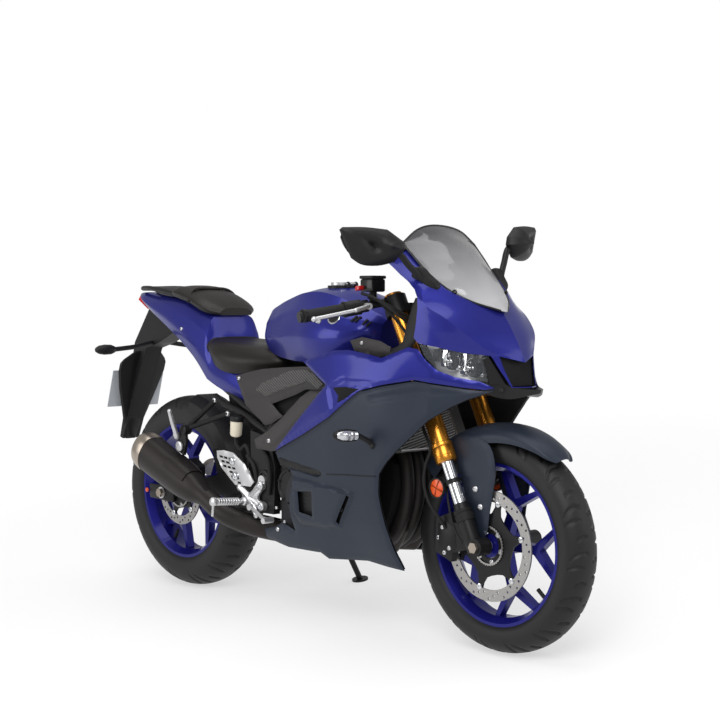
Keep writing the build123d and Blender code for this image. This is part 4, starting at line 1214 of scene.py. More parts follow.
# ---- side panels
@dataclass
class Panels(Assembly):
    """The fairing's side panels. The half widths are rows over x, with one value for each z."""

    half_x: tuple[int, ...] = (-200, -50, 120, 270, 430, 580, 660, 730)
    half_z: tuple[int, ...] = (190, 260, 330, 420, 520, 620, 710, 830)
    half: Rows = (
        (125, 145, 155, 165, 170, 170, 165, 160), (140, 160, 172, 182, 190, 190, 185, 180),
        (140, 165, 185, 200, 208, 212, 210, 200), (130, 160, 188, 208, 220, 228, 225, 205),
        (126, 158, 184, 206, 215, 222, 218, 196), (100, 130, 155, 175, 186, 184, 174, 168),
        (90, 115, 130, 140, 146, 142, 134, 132), (60, 70, 76, 80, 82, 80, 78, 74))
    dark_outline: Outline = (
        (356, 693), (420, 708), (530, 727), (700, 704), (722, 706), (668, 682), (632, 662), (577, 625),
        (532, 582), (481, 539), (445, 505), (418, 472), (409, 414), (410, 370), (413, 327), (420, 262),
        (430, 199), (370, 203), (293, 211), (133, 198), (103, 213), (-43, 212), (-180, 232), (-176, 252),
        (-92, 268), (-46, 288), (11, 268), (-4, 322), (6, 372), (32, 428), (22, 450), (-30, 464), (-51, 497),
        (100, 557), (228, 612), (290, 652))
    blue_outline: Outline = (
        (93, 768), (150, 784), (230, 803), (293, 806), (360, 798), (421, 787), (465, 803), (505, 818),
        (535, 812), (560, 784), (595, 757), (640, 741), (692, 730), (722, 712), (700, 708), (620, 719),
        (530, 731), (440, 716), (356, 697), (290, 656), (226, 616), (90, 557), (-51, 501), (-28, 520),
        (70, 598), (213, 706))
    vent: Outline = ((64, 392), (132, 398), (120, 324), (60, 331))
    slot: Outline = ((290, 403), (300, 398), (232, 312), (223, 320))
    depth: Width = bilinear(half_x, half_z, half)

    def lower(self) -> None:
        """The matt dark lower fairings with their vents."""
        blister = Relief(((40, 436), (300, 414), (316, 404), (232, 300), (60, 290), (20, 330)), 11, 9)
        brow = Relief(((-34, 486), (176, 462), (192, 452), (160, 440), (-26, 456)), -14, 12)
        upper = Relief(((372, 684), (540, 714), (700, 702), (620, 690), (520, 680), (400, 660)), -5, 14)
        for side in Side:
            name = f"lower_panel_{side.word}"
            piece = panel(name, self.dark_outline, self.depth, side, holes=(self.vent, self.slot),
                          reliefs=(blister, brow, upper))
            dress(piece, self.f.dark, replaces=["lower_fairings"], angle=38)

    def middle(self) -> None:
        """The blue side panels between the nose and the frame."""
        crease = Relief(((214, 705), (290, 735), (480, 728), (600, 722), (440, 716), (356, 697), (290, 656),
                         (240, 628)), -4, 16)
        for side in Side:
            name = f"middle_panel_{side.word}"
            piece = panel(name, self.blue_outline, lambda x, z: self.depth(x, z) + 1.5, side,
                          reliefs=(crease,))
            dress(piece, self.f.blue, replaces=["mid_fairings"], angle=38)

    def build(self) -> None:
        """Every side panel."""
        self.lower()
        self.middle()


# ---- front fender, mirrors and muffler
@dataclass
class Fender(Assembly):
    """The front fender, a shell about the wheel with a blade down each leg.

    A hoop is an angle in degrees, the radius at the middle, the half width and the drop of its edge.
    """

    hoops: Rows = ((49, 313, 34, 5), (52, 315, 46, 11), (60, 317, 57, 20), (74, 317, 67, 32),
                   (88, 316, 72, 42), (104, 315, 74, 50), (120, 315, 75, 56), (134, 314, 74, 60),
                   (140, 312, 72, 58))
    blade: Outline = (
        (552, 556), (572, 520), (594, 470), (612, 420), (634, 372), (652, 330), (668, 298), (686, 318),
        (700, 380), (712, 440), (720, 500), (700, 560), (650, 580), (590, 578))

    def build(self) -> None:
        """The fender in one piece."""
        rows = []
        cx, _, cz = FRONT.centre
        for degrees, radius, half, drop in self.hoops:
            a = math.radians(degrees)
            row = []
            for y, r in ((-half, radius - drop), (-half * 0.98, radius - drop * 0.5),
                         (-half * 0.8, radius - 4), (-half * 0.4, radius + 5), (0, radius + 8)):
                row.append((cx + r * math.cos(a), y, cz + r * math.sin(a)))
            rows.append(row + [(x, -y, z) for x, y, z in reversed(row[:-1])])
        shell = thicken(surface("fender_shell", grid(rows, 6, 5)), 3.0)
        blades = []
        for side in Side:
            outline = smooth_line(self.blade, 3, closed=True, sharp=(0, 6))
            blade = panel(f"fender_blade_{int(side)}", [tuple(p) for p in outline], lambda x, z: 76.5, side,
                          pitch=12, roll=3, roll_width=8)
            blades.append(blade)
        whole = join_all([shell, *blades], "front_mudguard")
        dress(whole, self.f.dark, Body.STEERING, replaces=["front_fender"], angle=40)


@dataclass
class Mirrors(Assembly):
    """Both rear-view mirrors. The head's outline is drawn in y and z, square to its glass."""

    outline: Outline = (
        (382, 1127), (374, 1134), (316, 1135), (255, 1130), (211, 1100), (204, 1078), (236, 1043),
        (280, 1034), (324, 1038), (350, 1054))
    middle: Point2 = (290, 1084)
    left_lift: float = 22

    def hoop(self, side: Side, x: float, k: float, outline: Iterable[Point2]) -> list[Point3]:
        """One cut through a head.

        Args:
            side: the side that it is on.
            x: where the cut is.
            k: its share of the whole outline.
            outline: the outline.

        Returns:
            The cut's points.
        """
        my, mz = self.middle
        top = mz + self.lift(side)
        return [(x - 0.3 * (y - 300), side * (my + (y - my) * k), top + (z - mz) * k) for y, z in outline]

    def lift(self, side: Side) -> float:
        """How much higher the left head stands."""
        return self.left_lift if side is Side.LEFT else 0

    def build(self) -> None:
        """Head, glass, stem and base on each side."""
        for side in Side:
            where = side.word
            lift = self.lift(side)
            rows = [self.hoop(side, x, k, self.outline)
                    for x, k in ((474, 0.94), (476, 1.0), (484, 1.0), (500, 0.86), (513, 0.6), (518, 0.12))]
            head = solid_of(f"mirror_head_{where}", rows, 4, 4, (0, 1, 3, 4, 5, 6, 9), (1,))
            dress(head, self.f.black, replaces=["mirrors"], angle=50)
            edge = smooth_line(self.outline, 4, closed=True)
            rows = [self.hoop(side, 473.2, k, edge) for k in (0.88, 0.02)]
            dress(capped(f"mirror_glass_{where}", rows), self.f.mirror)
            path = [(534, side * 150, 992), (524, side * 164, 1010), (512, side * 190, 1038 + lift / 2),
                    (505, side * 212, 1064 + lift), (500, side * 232, 1076 + lift)]
            dress(tube(f"mirror_stem_{where}", path, 9), self.f.black_metal)
            rows = []
            for x, y, z, wide, tall in ((504, 150, 1026, 4, 6), (507, 152, 1022, 11, 12),
                                        (534, 144, 992, 14, 16), (560, 133, 966, 11, 12),
                                        (564, 131, 962, 4, 6)):
                rows.append([(x, side * (y + tall), z + wide * 0.8),
                             (x + wide, side * (y + tall * 0.6), z + wide),
                             (x + wide, side * (y - 10), z + wide), (x - wide, side * (y - 10), z - wide),
                             (x - wide, side * (y + tall * 0.8), z - wide)])
            dress(solid_of(f"mirror_base_{where}", rows, 4, 3, (1, 4)), self.f.black)


@dataclass
class Exhaust(Assembly):
    """The muffler and what dresses it."""

    start: Point3 = (-372, -188, 325)
    end: Point3 = (-712, -196, 467)

    def __post_init__(self) -> None:
        """Works out the muffler's directions."""
        self.ahead = (Vector(self.end) - Vector(self.start)).normalized()
        self.out = Vector((0, -1, 0)) - self.ahead * Vector((0, -1, 0)).dot(self.ahead)
        self.out.normalize()
        self.up = self.out.cross(self.ahead)
        if self.up.z < 0:
            self.up = -self.up

    def ring(self, along: float, wide: float, tall: float) -> list[Vector]:
        """One rounded eight-sided section of the muffler.

        Args:
            along: distance from the muffler's front.
            wide: half width.
            tall: half height.

        Returns:
            The section's points.
        """
        shape = ((1, 0.42), (0.62, 0.92), (0, 1.02), (-0.62, 0.92), (-1, 0.42), (-1, -0.42), (-0.6, -0.92),
                 (0, -1.02), (0.6, -0.92), (1, -0.42))
        middle = Vector(self.start) + self.ahead * along
        return [middle + self.out * wide * a + self.up * tall * b for a, b in shape]

    def build(self) -> None:
        """Body, end cap, outlet and heat shield."""
        sizes = ((0, 24, 24), (30, 27, 29), (70, 36, 42), (110, 42, 50), (200, 46, 55), (300, 48, 57),
                 (322, 48, 57))
        body = solid_of("muffler_body", [self.ring(*s) for s in sizes], 4, 4)
        dress(body, self.f.muffler, replaces=["muffler"], angle=40)
        sizes = ((318, 49, 58.5), (322, 49.5, 59), (352, 48, 57), (366, 44, 52), (373, 36, 43), (374, 24, 28),
                 (366, 20, 22), (330, 18, 18))
        cap = solid_of("muffler_end", [self.ring(*s) for s in sizes], 3, 4)
        dress(cap, self.f.cap, replaces=["muffler_cap"], angle=40)
        rows = [self.ring(*s)[0:5] for s in ((96, 44, 52), (120, 46.5, 55), (170, 48.5, 58), (196, 49, 58.5))]
        shield = thicken(surface("muffler_shield", grid(rows, 4, 5)), 2.5)
        dress(shield, self.f.muffler, angle=40)


# ---- wheels
@dataclass(frozen=True)
class WheelSpec:
    """The sizes of one wheel."""

    name: str
    body: Body
    centre: Point3
    radius: float
    half: float
    rim_radius: float

    @property
    def hub(self) -> Point2:
        """The middle in x and z."""
        return self.centre[0], self.centre[2]


FRONT = WheelSpec("front", Body.FRONT_WHEEL, (690, 0, 293), 293, 55, 219)
REAR = WheelSpec("rear", Body.REAR_WHEEL, (-690, 0, 314), 314, 70, 219)


@dataclass
class Wheels(Assembly):
    """Tyres with tread: steps around, depth of the grooves and their pitch in degrees."""

    around: int = 540
    tread: float = 5.0
    pitch: float = 24.0

    def groove(self, turn: float, across: float) -> float:
        """How deep the tread is cut at a place, from 0 to 1.

        Args:
            turn: the angle about the axle, in degrees.
            across: place across the tread, -1 to 1.

        Returns:
            The share of the full depth.
        """
        side = abs(across)
        if not 0.08 < side < 0.86:
            return 0.0
        best = 0.0
        for shift, start, stop, slant in ((0.0, 0.12, 0.80, 20.0), (8.0, 0.30, 0.84, 14.0),
                                          (15.5, 0.10, 0.5, 26.0)):
            if start < side < stop:
                offset = (turn + shift + (12.0 if across > 0 else 0.0)
                          + slant * side * side - 12.0 * side) % self.pitch
                gap = min(offset, self.pitch - offset)
                width = 1.45 * (1 - 0.4 * abs(2 * (side - start) / (stop - start) - 1))
                best = max(best, 1 - soft_step((gap - width * 0.55) / 0.55))
        return best

    def tyre(self, spec: WheelSpec) -> None:
        """One tyre as a ring with cut tread.

        Args:
            spec: the wheel it sits on.
        """
        rows, profile = [], []
        for k in range(41):
            a = -1 + k / 20
            lean = a * math.pi / 2 * 0.98
            crown = spec.radius - spec.half * 0.82 * (1 - math.cos(lean)) ** 1.05
            profile.append((spec.half * math.sin(lean) if abs(a) < 1 else spec.half * a, crown, a))
        wall = []
        tall = spec.radius - spec.half * 0.82 - spec.rim_radius
        for y, r in ((1.0, 0.55), (0.985, 0.35), (0.93, 0.18), (0.86, 0.06), (0.80, 0.0)):
            wall.append((spec.half * y, spec.rim_radius + tall * r / 0.62 * 0.9))
        ring = [(-y, r, None) for y, r in reversed(wall)] + profile + [(y, r, None) for y, r in wall]
        ring += [(spec.half * 0.7, spec.rim_radius - 4, None), (-spec.half * 0.7, spec.rim_radius - 4, None)]
        cx, _, cz = spec.centre
        for t in turns(self.around):
            row = []
            for y, r, across in ring:
                depth = self.tread * self.groove(math.degrees(t), across) if across is not None else 0.0
                row.append((cx + (r - depth) * math.cos(t), y, cz + (r - depth) * math.sin(t)))
            rows.append(row)
        rows.append(rows[0])
        obj = surface(f"{spec.name}_tread", rows, closed=True)
        with edit_mesh(obj) as bm:
            bmesh.ops.remove_doubles(bm, verts=bm.verts, dist=1e-6)
        dress(obj, self.f.tyre, spec.body, replaces=[f"{spec.name}_tyre"], angle=60)

    def build(self) -> None:
        """Both tyres."""
        for spec in (FRONT, REAR):
            self.tyre(spec)


# ---- details
@dataclass
class Covers(Assembly):
    """Side covers, frame spars and the dark panels beside the fork."""

    cover: Outline = (
        (-272, 713), (-200, 728), (-140, 738), (-40, 746), (47, 751), (112, 753), (160, 728), (200, 706),
        (133, 688), (69, 686), (20, 668), (-93, 636), (-60, 612), (-42, 602), (-98, 576), (-130, 570),
        (-222, 624), (-240, 652))
    ribs: Outline = (
        (-172, 676), (-131, 700), (-74, 717), (8, 739), (75, 744), (118, 731), (158, 705), (132, 691),
        (84, 712), (44, 700), (-28, 683), (-115, 658))
    spar: Outline = (
        (206, 706), (133, 688), (84, 686), (36, 662), (-42, 602), (-110, 556), (-178, 524), (-170, 498),
        (-98, 494), (-60, 499), (-26, 518), (90, 610))
    strip: Outline = (
        (541, 948), (531, 890), (525, 845), (478, 800), (430, 788), (395, 785), (352, 783), (425, 806),
        (462, 832), (475, 868), (497, 925), (512, 950))
    back: Outline = ((-150, 560), (-60, 548), (150, 700), (60, 720), (-120, 660))
    fold: Outline = ((-270, 704), (-130, 724), (60, 742), (150, 720), (60, 700), (-96, 654), (-220, 650))
    crest: Outline = ((190, 702), (84, 676), (-40, 592), (-150, 516), (-90, 504), (60, 604))
    plate: Outline = ((240, 830), (290, 841), (365, 831), (405, 815), (400, 794), (352, 787), (258, 802))

    @staticmethod
    def depth(x: float, z: float) -> float:
        """Half width of the covers at a place."""
        return 161 + 0.035 * (x + 290) - 0.02 * abs(z - 700)

    def build(self) -> None:
        """Every cover, on both sides."""
        f = self.f
        for side in Side:
            where = side.word
            cover = panel(f"side_cover_{where}", self.cover, self.depth, side,
                          reliefs=(Relief(self.fold, 4, 8),))
            dress(cover, f.inner, replaces=["side_covers"])
            dress(panel(f"cover_ribs_{where}", self.ribs, lambda x, z: self.depth(x, z) + 4.6, side, wall=1.5,
                        roll=1.0, roll_width=4.0), f.ribbed)
            crest = Relief(self.crest, 4, 8)
            dress(panel(f"frame_spar_{where}", self.spar, lambda x, z: 166.0, side, reliefs=(crest,)), f.spar)
            dress(panel(f"fork_panel_{where}", self.strip, lambda x, z: 163.0 + 0.02 * (x - 350), side),
                  f.black)
            dress(panel(f"fork_plate_{where}", self.plate, lambda x, z: 156.0, side), f.spar)
            # a near-black block behind the cover: painted shade in the gap behind it
            dress(prism(f"cover_back_{where}", self.back, *side.span(136, 146)), f.void)
            out = (0, side, 0)
            for x, z, y, r in ((-99, 526, 169, 7), (-245, 706, 166, 6), (295, 824, 156, 6)):
                bolt((x, side * y, z), out, r, 5, f.bright)
            pivot = [(0, 26), (5, 26), (7, 23), (7, 17), (3, 16), (3, 9), (6, 8), (6, 0)]
            dress(turned(f"pivot_boss_{where}", pivot, (-155, side * 141, 407), out, 32), f.black_metal)
            lid = [(0, 56), (6, 56), (9, 52), (9, 46), (6, 44), (6, 20), (8, 18), (8, 0)]
            dress(turned(f"engine_lid_{where}", lid, (-19, side * 150, 395), out, 40), f.black_metal)
            for turn in range(5):
                x, z = around((-19, 395), 49, math.radians(72 * turn + 20))
                bolt((x, side * 158, z), out, 5, 4, f.black_metal)


@dataclass
class FairingTrim(Assembly):
    """Fins, dark liners, screws and the front indicators on the fairing."""

    backing: Outline = (
        (366, 712), (350, 705), (290, 668), (226, 628), (90, 569), (-40, 512), (-46, 490), (100, 545),
        (228, 600), (290, 638), (362, 682))
    window: Outline = ((250, 701), (275, 678), (270, 661), (298, 670), (330, 689), (353, 701), (300, 705))
    seam: Outline = ((206, 454), (260, 458), (320, 461), (370, 463), (408, 465))
    fin: Outline = ((-46, 487), (60, 478), (170, 466), (204, 453), (150, 444), (60, 450), (-30, 460))
    airbox: Outline = ((-392, 655), (-340, 661), (-205, 545), (-230, 525), (-309, 560), (-385, 615))
    stalk: Line = ((402, 208, 552), (400, 226, 560), (394, 262, 578))
    middle: Point2 = (330.0, 470.0)
    liner_scale: float = 0.985
    depth: Width = Panels.depth

    def build(self) -> None:
        """Every trim piece, on both sides."""
        f = self.f
        mx, mz = self.middle
        k = self.liner_scale
        inner = [(mx + (x - mx) * k, mz + (z - mz) * k) for x, z in Panels.dark_outline]
        for side in Side:
            where = side.word
            out = (0, side, 0)
            dress(panel(f"fairing_liner_{where}", inner, lambda x, z: self.depth(x, z) - 6, side, wall=2.0,
                        pitch=24), f.black)
            # a near-black panel over the frame's opening: painted shade
            dress(panel(f"frame_window_{where}", self.window, lambda x, z: self.depth(x, z) + 4.5, side,
                        wall=2.0, pitch=10), f.void)
            seam = [(x, side * (self.depth(x, z) + 0.4), z) for x, z in self.seam]
            dress(tube(f"fairing_seam_{where}", seam, 1.6, sides=8), f.black)
            # a near-black block beside the airbox: painted shade in the gap
            dress(prism(f"airbox_side_{where}", self.airbox, *side.span(84, 94)), f.void)
            dress(panel(f"seam_backing_{where}", self.backing, lambda x, z: self.depth(x, z) - 4, side,
                        wall=2.0), f.black)
            dress(panel(f"fairing_fin_{where}", self.fin, lambda x, z: self.depth(x, z) + 1.5, side, wall=4.0,
                        roll=6, roll_width=14), f.black)
            for k in range(4):
                z = 348 + 13 * k
                y = side * (self.depth(98, z) - 5)
                fin = prism(f"vent_fin_{where}_{k}", [(76, z), (134, z + 5), (134, z + 8), (76, z + 3)],
                            *sorted((y, y - side * 8)))
                dress(fin, f.black_metal)
            for x, z, r in ((-70, 264, 6.5), (-62, 330, 5), (-28, 292, 4.5)):
                bolt((x, side * (self.depth(x, z) + 1), z), out, r, 4, f.bright)
            stalk = tube(f"front_stalk_{where}", side.path(self.stalk), 7.5)
            dress(stalk, f.black, replaces=["indicator_stalks"])
            root = turned(f"front_stalk_foot_{where}", [(0, 17), (6, 16), (14, 11), (22, 9)],
                          (404, side * 204, 548), (0, side, 0.2), 24)
            dress(root, f.black)
            shell = [(0, 5), (3, 10), (12, 15), (40, 18), (66, 16), (82, 10), (88, 4), (89, 0)]
            aim = (-0.05, side, 0.06)
            shell = [(d, r * 0.99) for d, r in shell]
            dress(turned(f"front_lamp_shell_{where}", shell, (390, side * 258, 578), aim, 28), f.black,
                  replaces=["indicators"])
            face = [(6, 6), (12, 12), (40, 15.5), (66, 13.5), (80, 8), (85, 2)]
            dress(turned(f"front_lamp_face_{where}", face, (394, side * 258, 578), aim, 28), f.silver_lens)
            for k in range(3):
                spot = (400.5, side * (276 + 18 * k), 579)
                dress(turned(f"front_lamp_mark_{where}_{k}", [(0, 12.0), (2, 12.0)], spot, aim, 20), f.chrome)


@dataclass
class NoseTrim(Assembly):
    """Chin lip, lamp details and cowl screws."""

    chin: Rows = ((694, 100, 740, 706), (722, 78, 748, 690), (752, 58, 718, 684), (786, 34, 711, 690),
                  (808, 16, 710, 697), (815, 0, 710, 699))
    blades: Rows = ((578, 154, 797, 34), (600, 146, 789, 44), (622, 134, 783, 50), (646, 121, 775, 54),
                    (668, 104, 768, 52), (698, 86, 762, 46))
    cheek: Line = ((702, 99, 789), (709, 88, 794), (742, 60, 724), (716, 92, 724))

    def build(self) -> None:
        """Every trim piece of the nose."""
        f = self.f
        stations = [(x, -y, t, b) for x, y, t, b in self.chin]
        stations += [(x, y, t, b) for x, y, t, b in reversed(self.chin[:-1])]
        rows = [[(x, y, top), (x - 3, y * 0.98, low), (x - 70, y * 0.62, low + 4),
                 (x - 60, y * 0.66, top - 8)] for x, y, top, low in stations]
        dress(solid_of("chin_lip", rows, 4, 2, sharp_across=(0, 1, 2, 3), sharp_along=(5,)), f.gloss_black,
              replaces=["air_intake"])
        for side in Side:
            where = side.word
            for x, z, y in ((442, 1081, 138), (598, 965, 101)):
                bolt((x, side * y, z), (0.5, side * 0.8, 0.4), 6.5, 5, f.gloss_black)
            cheek = side.path(self.cheek)
            inner = [(x - 24, y * 0.86, z) for x, y, z in cheek]
            dress(box_of(f"lamp_cheek_{where}", cheek + inner), f.gloss_black)
            for k, (x, y, z, tall) in enumerate(self.blades):
                low, high = z - tall / 2, z + tall / 2
                blade = [(x - 16, low), (x + 2, low), (x + 8, high), (x - 14, high)]
                dress(prism(f"lamp_blade_{where}_{k}", blade, *side.span(y - 12, y - 8)),
                      f.mirror if k % 2 else f.black)


@dataclass
class TankTrim(Assembly):
    """Four slots on each side of the tank, thin near-black boxes of painted shade."""

    def build(self) -> None:
        """The slots, laid on the tank's skin."""
        f = self.f
        rows = Upper.tank_surface()
        for side in Side:
            where = side.word
            for k in range(4):
                x = 218 + 15 * k
                spot, facing = on_body(rows, (x, side * (118 - 5 * k), 888 - 3 * k))
                u = Vector((1, 0, -0.35)).normalized()
                v = facing.cross(u)
                corners = [spot + u * a + v * b + facing * c for c in (1.6, -3)
                           for a, b in ((-4.5, -12), (3.5, -12), (6, 12), (-2, 12))]
                dress(box_of(f"tank_slot_{where}_{k}", corners), f.void)


@dataclass
class Rearset(Assembly):
    """Heel guards, footrest hangers, pegs and the passenger hangers' bolts."""

    guard: Outline = (
        (-369, 477), (-333, 481), (-289, 476), (-229, 444), (-186, 394), (-203, 379), (-277, 378),
        (-299, 393), (-343, 424), (-367, 456))
    cast: Outline = (
        (-262, 384), (-236, 362), (-206, 360), (-172, 394), (-152, 400), (-142, 384), (-172, 352),
        (-172, 340), (-144, 336), (-140, 318), (-156, 308), (-192, 322), (-222, 314), (-248, 326),
        (-246, 350), (-270, 372))
    rail: Line = ((-445, 104, 640), (-400, 108, 622), (-300, 116, 598), (-150, 128, 545))

    def build(self) -> None:
        """Both sides of the footrests."""
        f = self.f
        slots = []
        for i in range(6):
            for j in range(3):
                x, z = -356 + 9 * i + 22 * j, 464 - 14 * i - 2 * j
                slots.append(((x, z), (x + 17, z - 1), (x + 20, z - 8), (x + 3, z - 7)))
        ring = [Vector(p) for p in self.guard]
        slots = [s for s in slots if all(inside(Vector(p), ring) and edge_distance(Vector(p), ring) > 3
                                         for p in s)]
        for side in Side:
            where = side.word
            out = (0, side, 0)
            guard = panel(f"heel_guard_{where}", self.guard, lambda x, z: 160.0, side, holes=slots, wall=4.0,
                          roll=1.5, roll_width=3.0, pitch=12)
            dress(guard, f.bright, replaces=["footrest_plates"])
            for x, z in ((-289, 450), (-274, 405)):
                bolt((x, side * 160, z), out, 13, 6, f.chrome)
            hub = (-214, side * 152, 346)
            parts = []
            for k, end in enumerate(((-157, 386), (-153, 323), (-258, 372), (-234, 334), (-178, 296))):
                tip = (end[0], side * 152, end[1])
                parts.append(tube(f"hanger_{where}_{k}", [hub, tip], 9.5 if k < 2 else 11, per=2, sides=10))
                boss = [(-8, 14), (8, 14), (10, 11)] if k < 2 else [(-8, 11), (7, 11), (9, 8)]
                parts.append(turned(f"boss_{where}_{k}", boss, tip, out, 20))
            dress(join_all(parts, f"footrest_hanger_{where}"), f.bright)
            for x, z in ((-157, 386), (-153, 323)):
                bolt((x, side * 162, z), out, 8, 4, f.chrome)
            start, end = Vector((-226, side * 156, 332)), Vector((-208, side * 300, 345))
            axis = end - start
            long = axis.length
            peg = [(0, 13), (14, 13), (18, 9)]
            for k in range(9):
                d = 34 + (long - 52) * k / 9
                peg += [(d, 9.5), (d + 1.5, 11.5), (d + 7, 11.5), (d + 8.5, 9.5)]
            peg += [(long - 12, 13), (long - 2, 13), (long, 10)]
            dress(turned(f"peg_{where}", peg, start, axis, 24), f.bright, replaces=["footrests"])
            dress(tube(f"feeler_{where}", [(-212, side * 292, 336), (-216, side * 292, 300)], 4), f.bright)
            rear_a, rear_b = Vector((-530, side * 194, 514)), Vector((-494, side * 248, 600))
            long = (rear_b - rear_a).length
            peg = [(-6, 10), (10, 10), (13, 8), (long * 0.6, 8), (long, 6), (long + 2, 4)]
            dress(turned(f"rear_peg_{where}", peg, rear_a, rear_b - rear_a, 20), f.bright)
            for x, y, z in ((-437, 112, 628), (-365, 116, 590)):
                bolt((x, side * y, z), out, 9, 7, f.bright)
            for k, foot in enumerate(((-437, 110, 628), (-365, 113, 590))):
                strut = tube(f"rear_strut_{where}_{k}", side.path((foot, (-502, 178, 537))), 8, per=2)
                dress(strut, f.black_metal, replaces=["passenger_hangers"])
            dress(tube(f"subframe_{where}", side.path(self.rail), 11), f.black_metal)
            cast = prism(f"hanger_plate_{where}", self.cast, *side.span(144, 157))
            dress(round_edges(cast, 3), f.bright)
            knee = [(-12, 16), (12, 16), (14, 12)]
            dress(turned(f"rear_joint_{where}", knee, (-500, side * 180, 536), out, 24), f.black_metal)


@dataclass
class RearTrim(Assembly):
    """Plate bracket, rear indicators, reservoir, axle and muffler details."""

    shoulders: Rows = ((460, -1074, 18), (470, -1073, 22), (560, -1046, 52), (640, -1024, 78),
                       (682, -1010, 89), (688, -1008, 90), (700, -1004, 94), (728, -994, 94), (742, -986, 84),
                       (768, -968, 52))
    stalk: Line = ((-888, 30, 800), (-878, 110, 788), (-868, 200, 781))
    rail: Line = ((-640, 92, 958), (-760, 82, 976), (-880, 58, 985), (-946, 26, 984), (-956, 0, 984))
    hoses: Rows = (((-240, -140, 470), (-200, -146, 440), (-190, -144, 380), (-210, -140, 330)),
                   ((-160, -146, 500), (-132, -150, 470), (-120, -150, 420), (-128, -148, 360)),
                   ((-270, -120, 440), (-230, -132, 420), (-200, -138, 400), (-180, -140, 350)))
    feed: Line = (
        (-297, -140, 524), (-292, -141, 500), (-270, -142, 486), (-250, -140, 500), (-236, -138, 480),
        (-238, -138, 430))
    box: Line = ((-380, -188, 330), (-300, -178, 288), (-230, -152, 264), (-150, -112, 248), (-60, -70, 242))
    strap: Line = ((-586, -106, 938), (-600, -80, 972), (-604, 0, 982), (-600, 80, 972), (-586, 106, 938))
    lug: Outline = ((-540, 470), (-500, 455), (-486, 500), (-494, 545), (-518, 545))

    def bracket(self) -> None:
        """The wide-shouldered bracket that carries the plate and ends in a mudflap."""
        f = self.f
        rows = []
        for z, x, half in self.shoulders:
            rows.append([(x, -half, z), (x, half, z), (x + 8, half - 3, z + 1), (x + 16, half * 0.5, z + 2),
                         (x + 16, -half * 0.5, z + 2), (x + 8, -half + 3, z + 1)])
        dress(solid_of("plate_bracket", rows, 2, 1, range(6), range(len(rows))), f.black)

    def indicators(self) -> None:
        """Both rear indicators on their stalks."""
        f = self.f
        for side in Side:
            where = side.word
            stalk = tube(f"rear_stalk_{where}", side.path(self.stalk), 8)
            dress(stalk, f.black, replaces=["indicator_stalks"])
            body = [(0, 6), (6, 11), (20, 16), (46, 17), (66, 14), (78, 8), (80, 0)]
            out = (0.05, side, 0)
            dress(turned(f"rear_lamp_{where}", body, (-868, side * 196, 781), out, 24), f.black,
                  replaces=["indicators"])
            face = [(8, 8), (20, 13), (46, 14), (64, 11), (74, 5)]
            dress(turned(f"rear_lamp_face_{where}", face, (-873, side * 196, 781), out, 24), f.silver_lens)

    def axle(self) -> None:
        """Nuts, adjuster marks and a small orange dot at the rear axle."""
        f = self.f
        for side in Side:
            where = side.word
            out = (0, side, 0)
            washer = [(0, 19), (4, 19), (4, 10), (0, 10)]
            dress(turned(f"axle_washer_{where}", washer, (-700, side * 132, 314), out, 28, solid=True),
                  f.bright)
            nut = prism(f"axle_nut_{where}", disc_ring((-700, 314), 14.5, 6), *side.span(132, 146))
            dress(nut, f.cap)
            block = prism(f"chain_adjuster_{where}", [(-770, 292), (-640, 286), (-636, 340), (-772, 338)],
                          *side.span(120, 131))
            dress(round_edges(block, 4), f.black_metal)
        dress(turned("small_reflector", [(0, 7), (4, 7), (5, 5)], (-782, -131, 316), (0, -1, 0), 20),
              f.orange)

    def build(self) -> None:
        """Every rear detail."""
        f = self.f
        self.bracket()
        self.indicators()
        self.axle()
        cap = [(0, 21), (12, 21), (15, 19), (16, 0)]
        dress(turned("reservoir_cap", cap, (-292, -140, 572), (0.1, 0, 1), 28), f.black)
        pot = [(0, 6), (4, 15), (10, 18), (50, 19), (51, 0)]
        dress(turned("reservoir_pot", pot, (-297, -140, 522), (0.1, 0, 1), 28), f.cream,
              replaces=["rear_reservoir"])
        dress(tube("collector_box", self.box, 32, sides=22), f.muffler)
        for k, path in enumerate(self.hoses):
            dress(tube(f"hose_{k}", path, 6.5), f.rubber)
        dress(tube("reservoir_hose", self.feed, 6), f.rubber)
        out = (0, -1, 0)
        mount = [(0, 17), (5, 17), (7, 14), (7, 9), (4, 8), (4, 0)]
        dress(turned("muffler_mount_ring", mount, (-516, -192, 482), out, 28), f.bright)
        dress(prism("muffler_bracket", self.lug, -190, -180), f.black_metal)
        for side in Side:
            for x, z, y in ((-625, 851, 103), (-300, 700, 120)):
                bolt((x, side * y, z), (0, side, 0), 6, 4, f.bright)
            dress(tube(f"grab_rail_{int(side)}", side.path(self.rail), 8), f.black)
        dress(tube("seat_strap", self.strap, 4), f.seat)


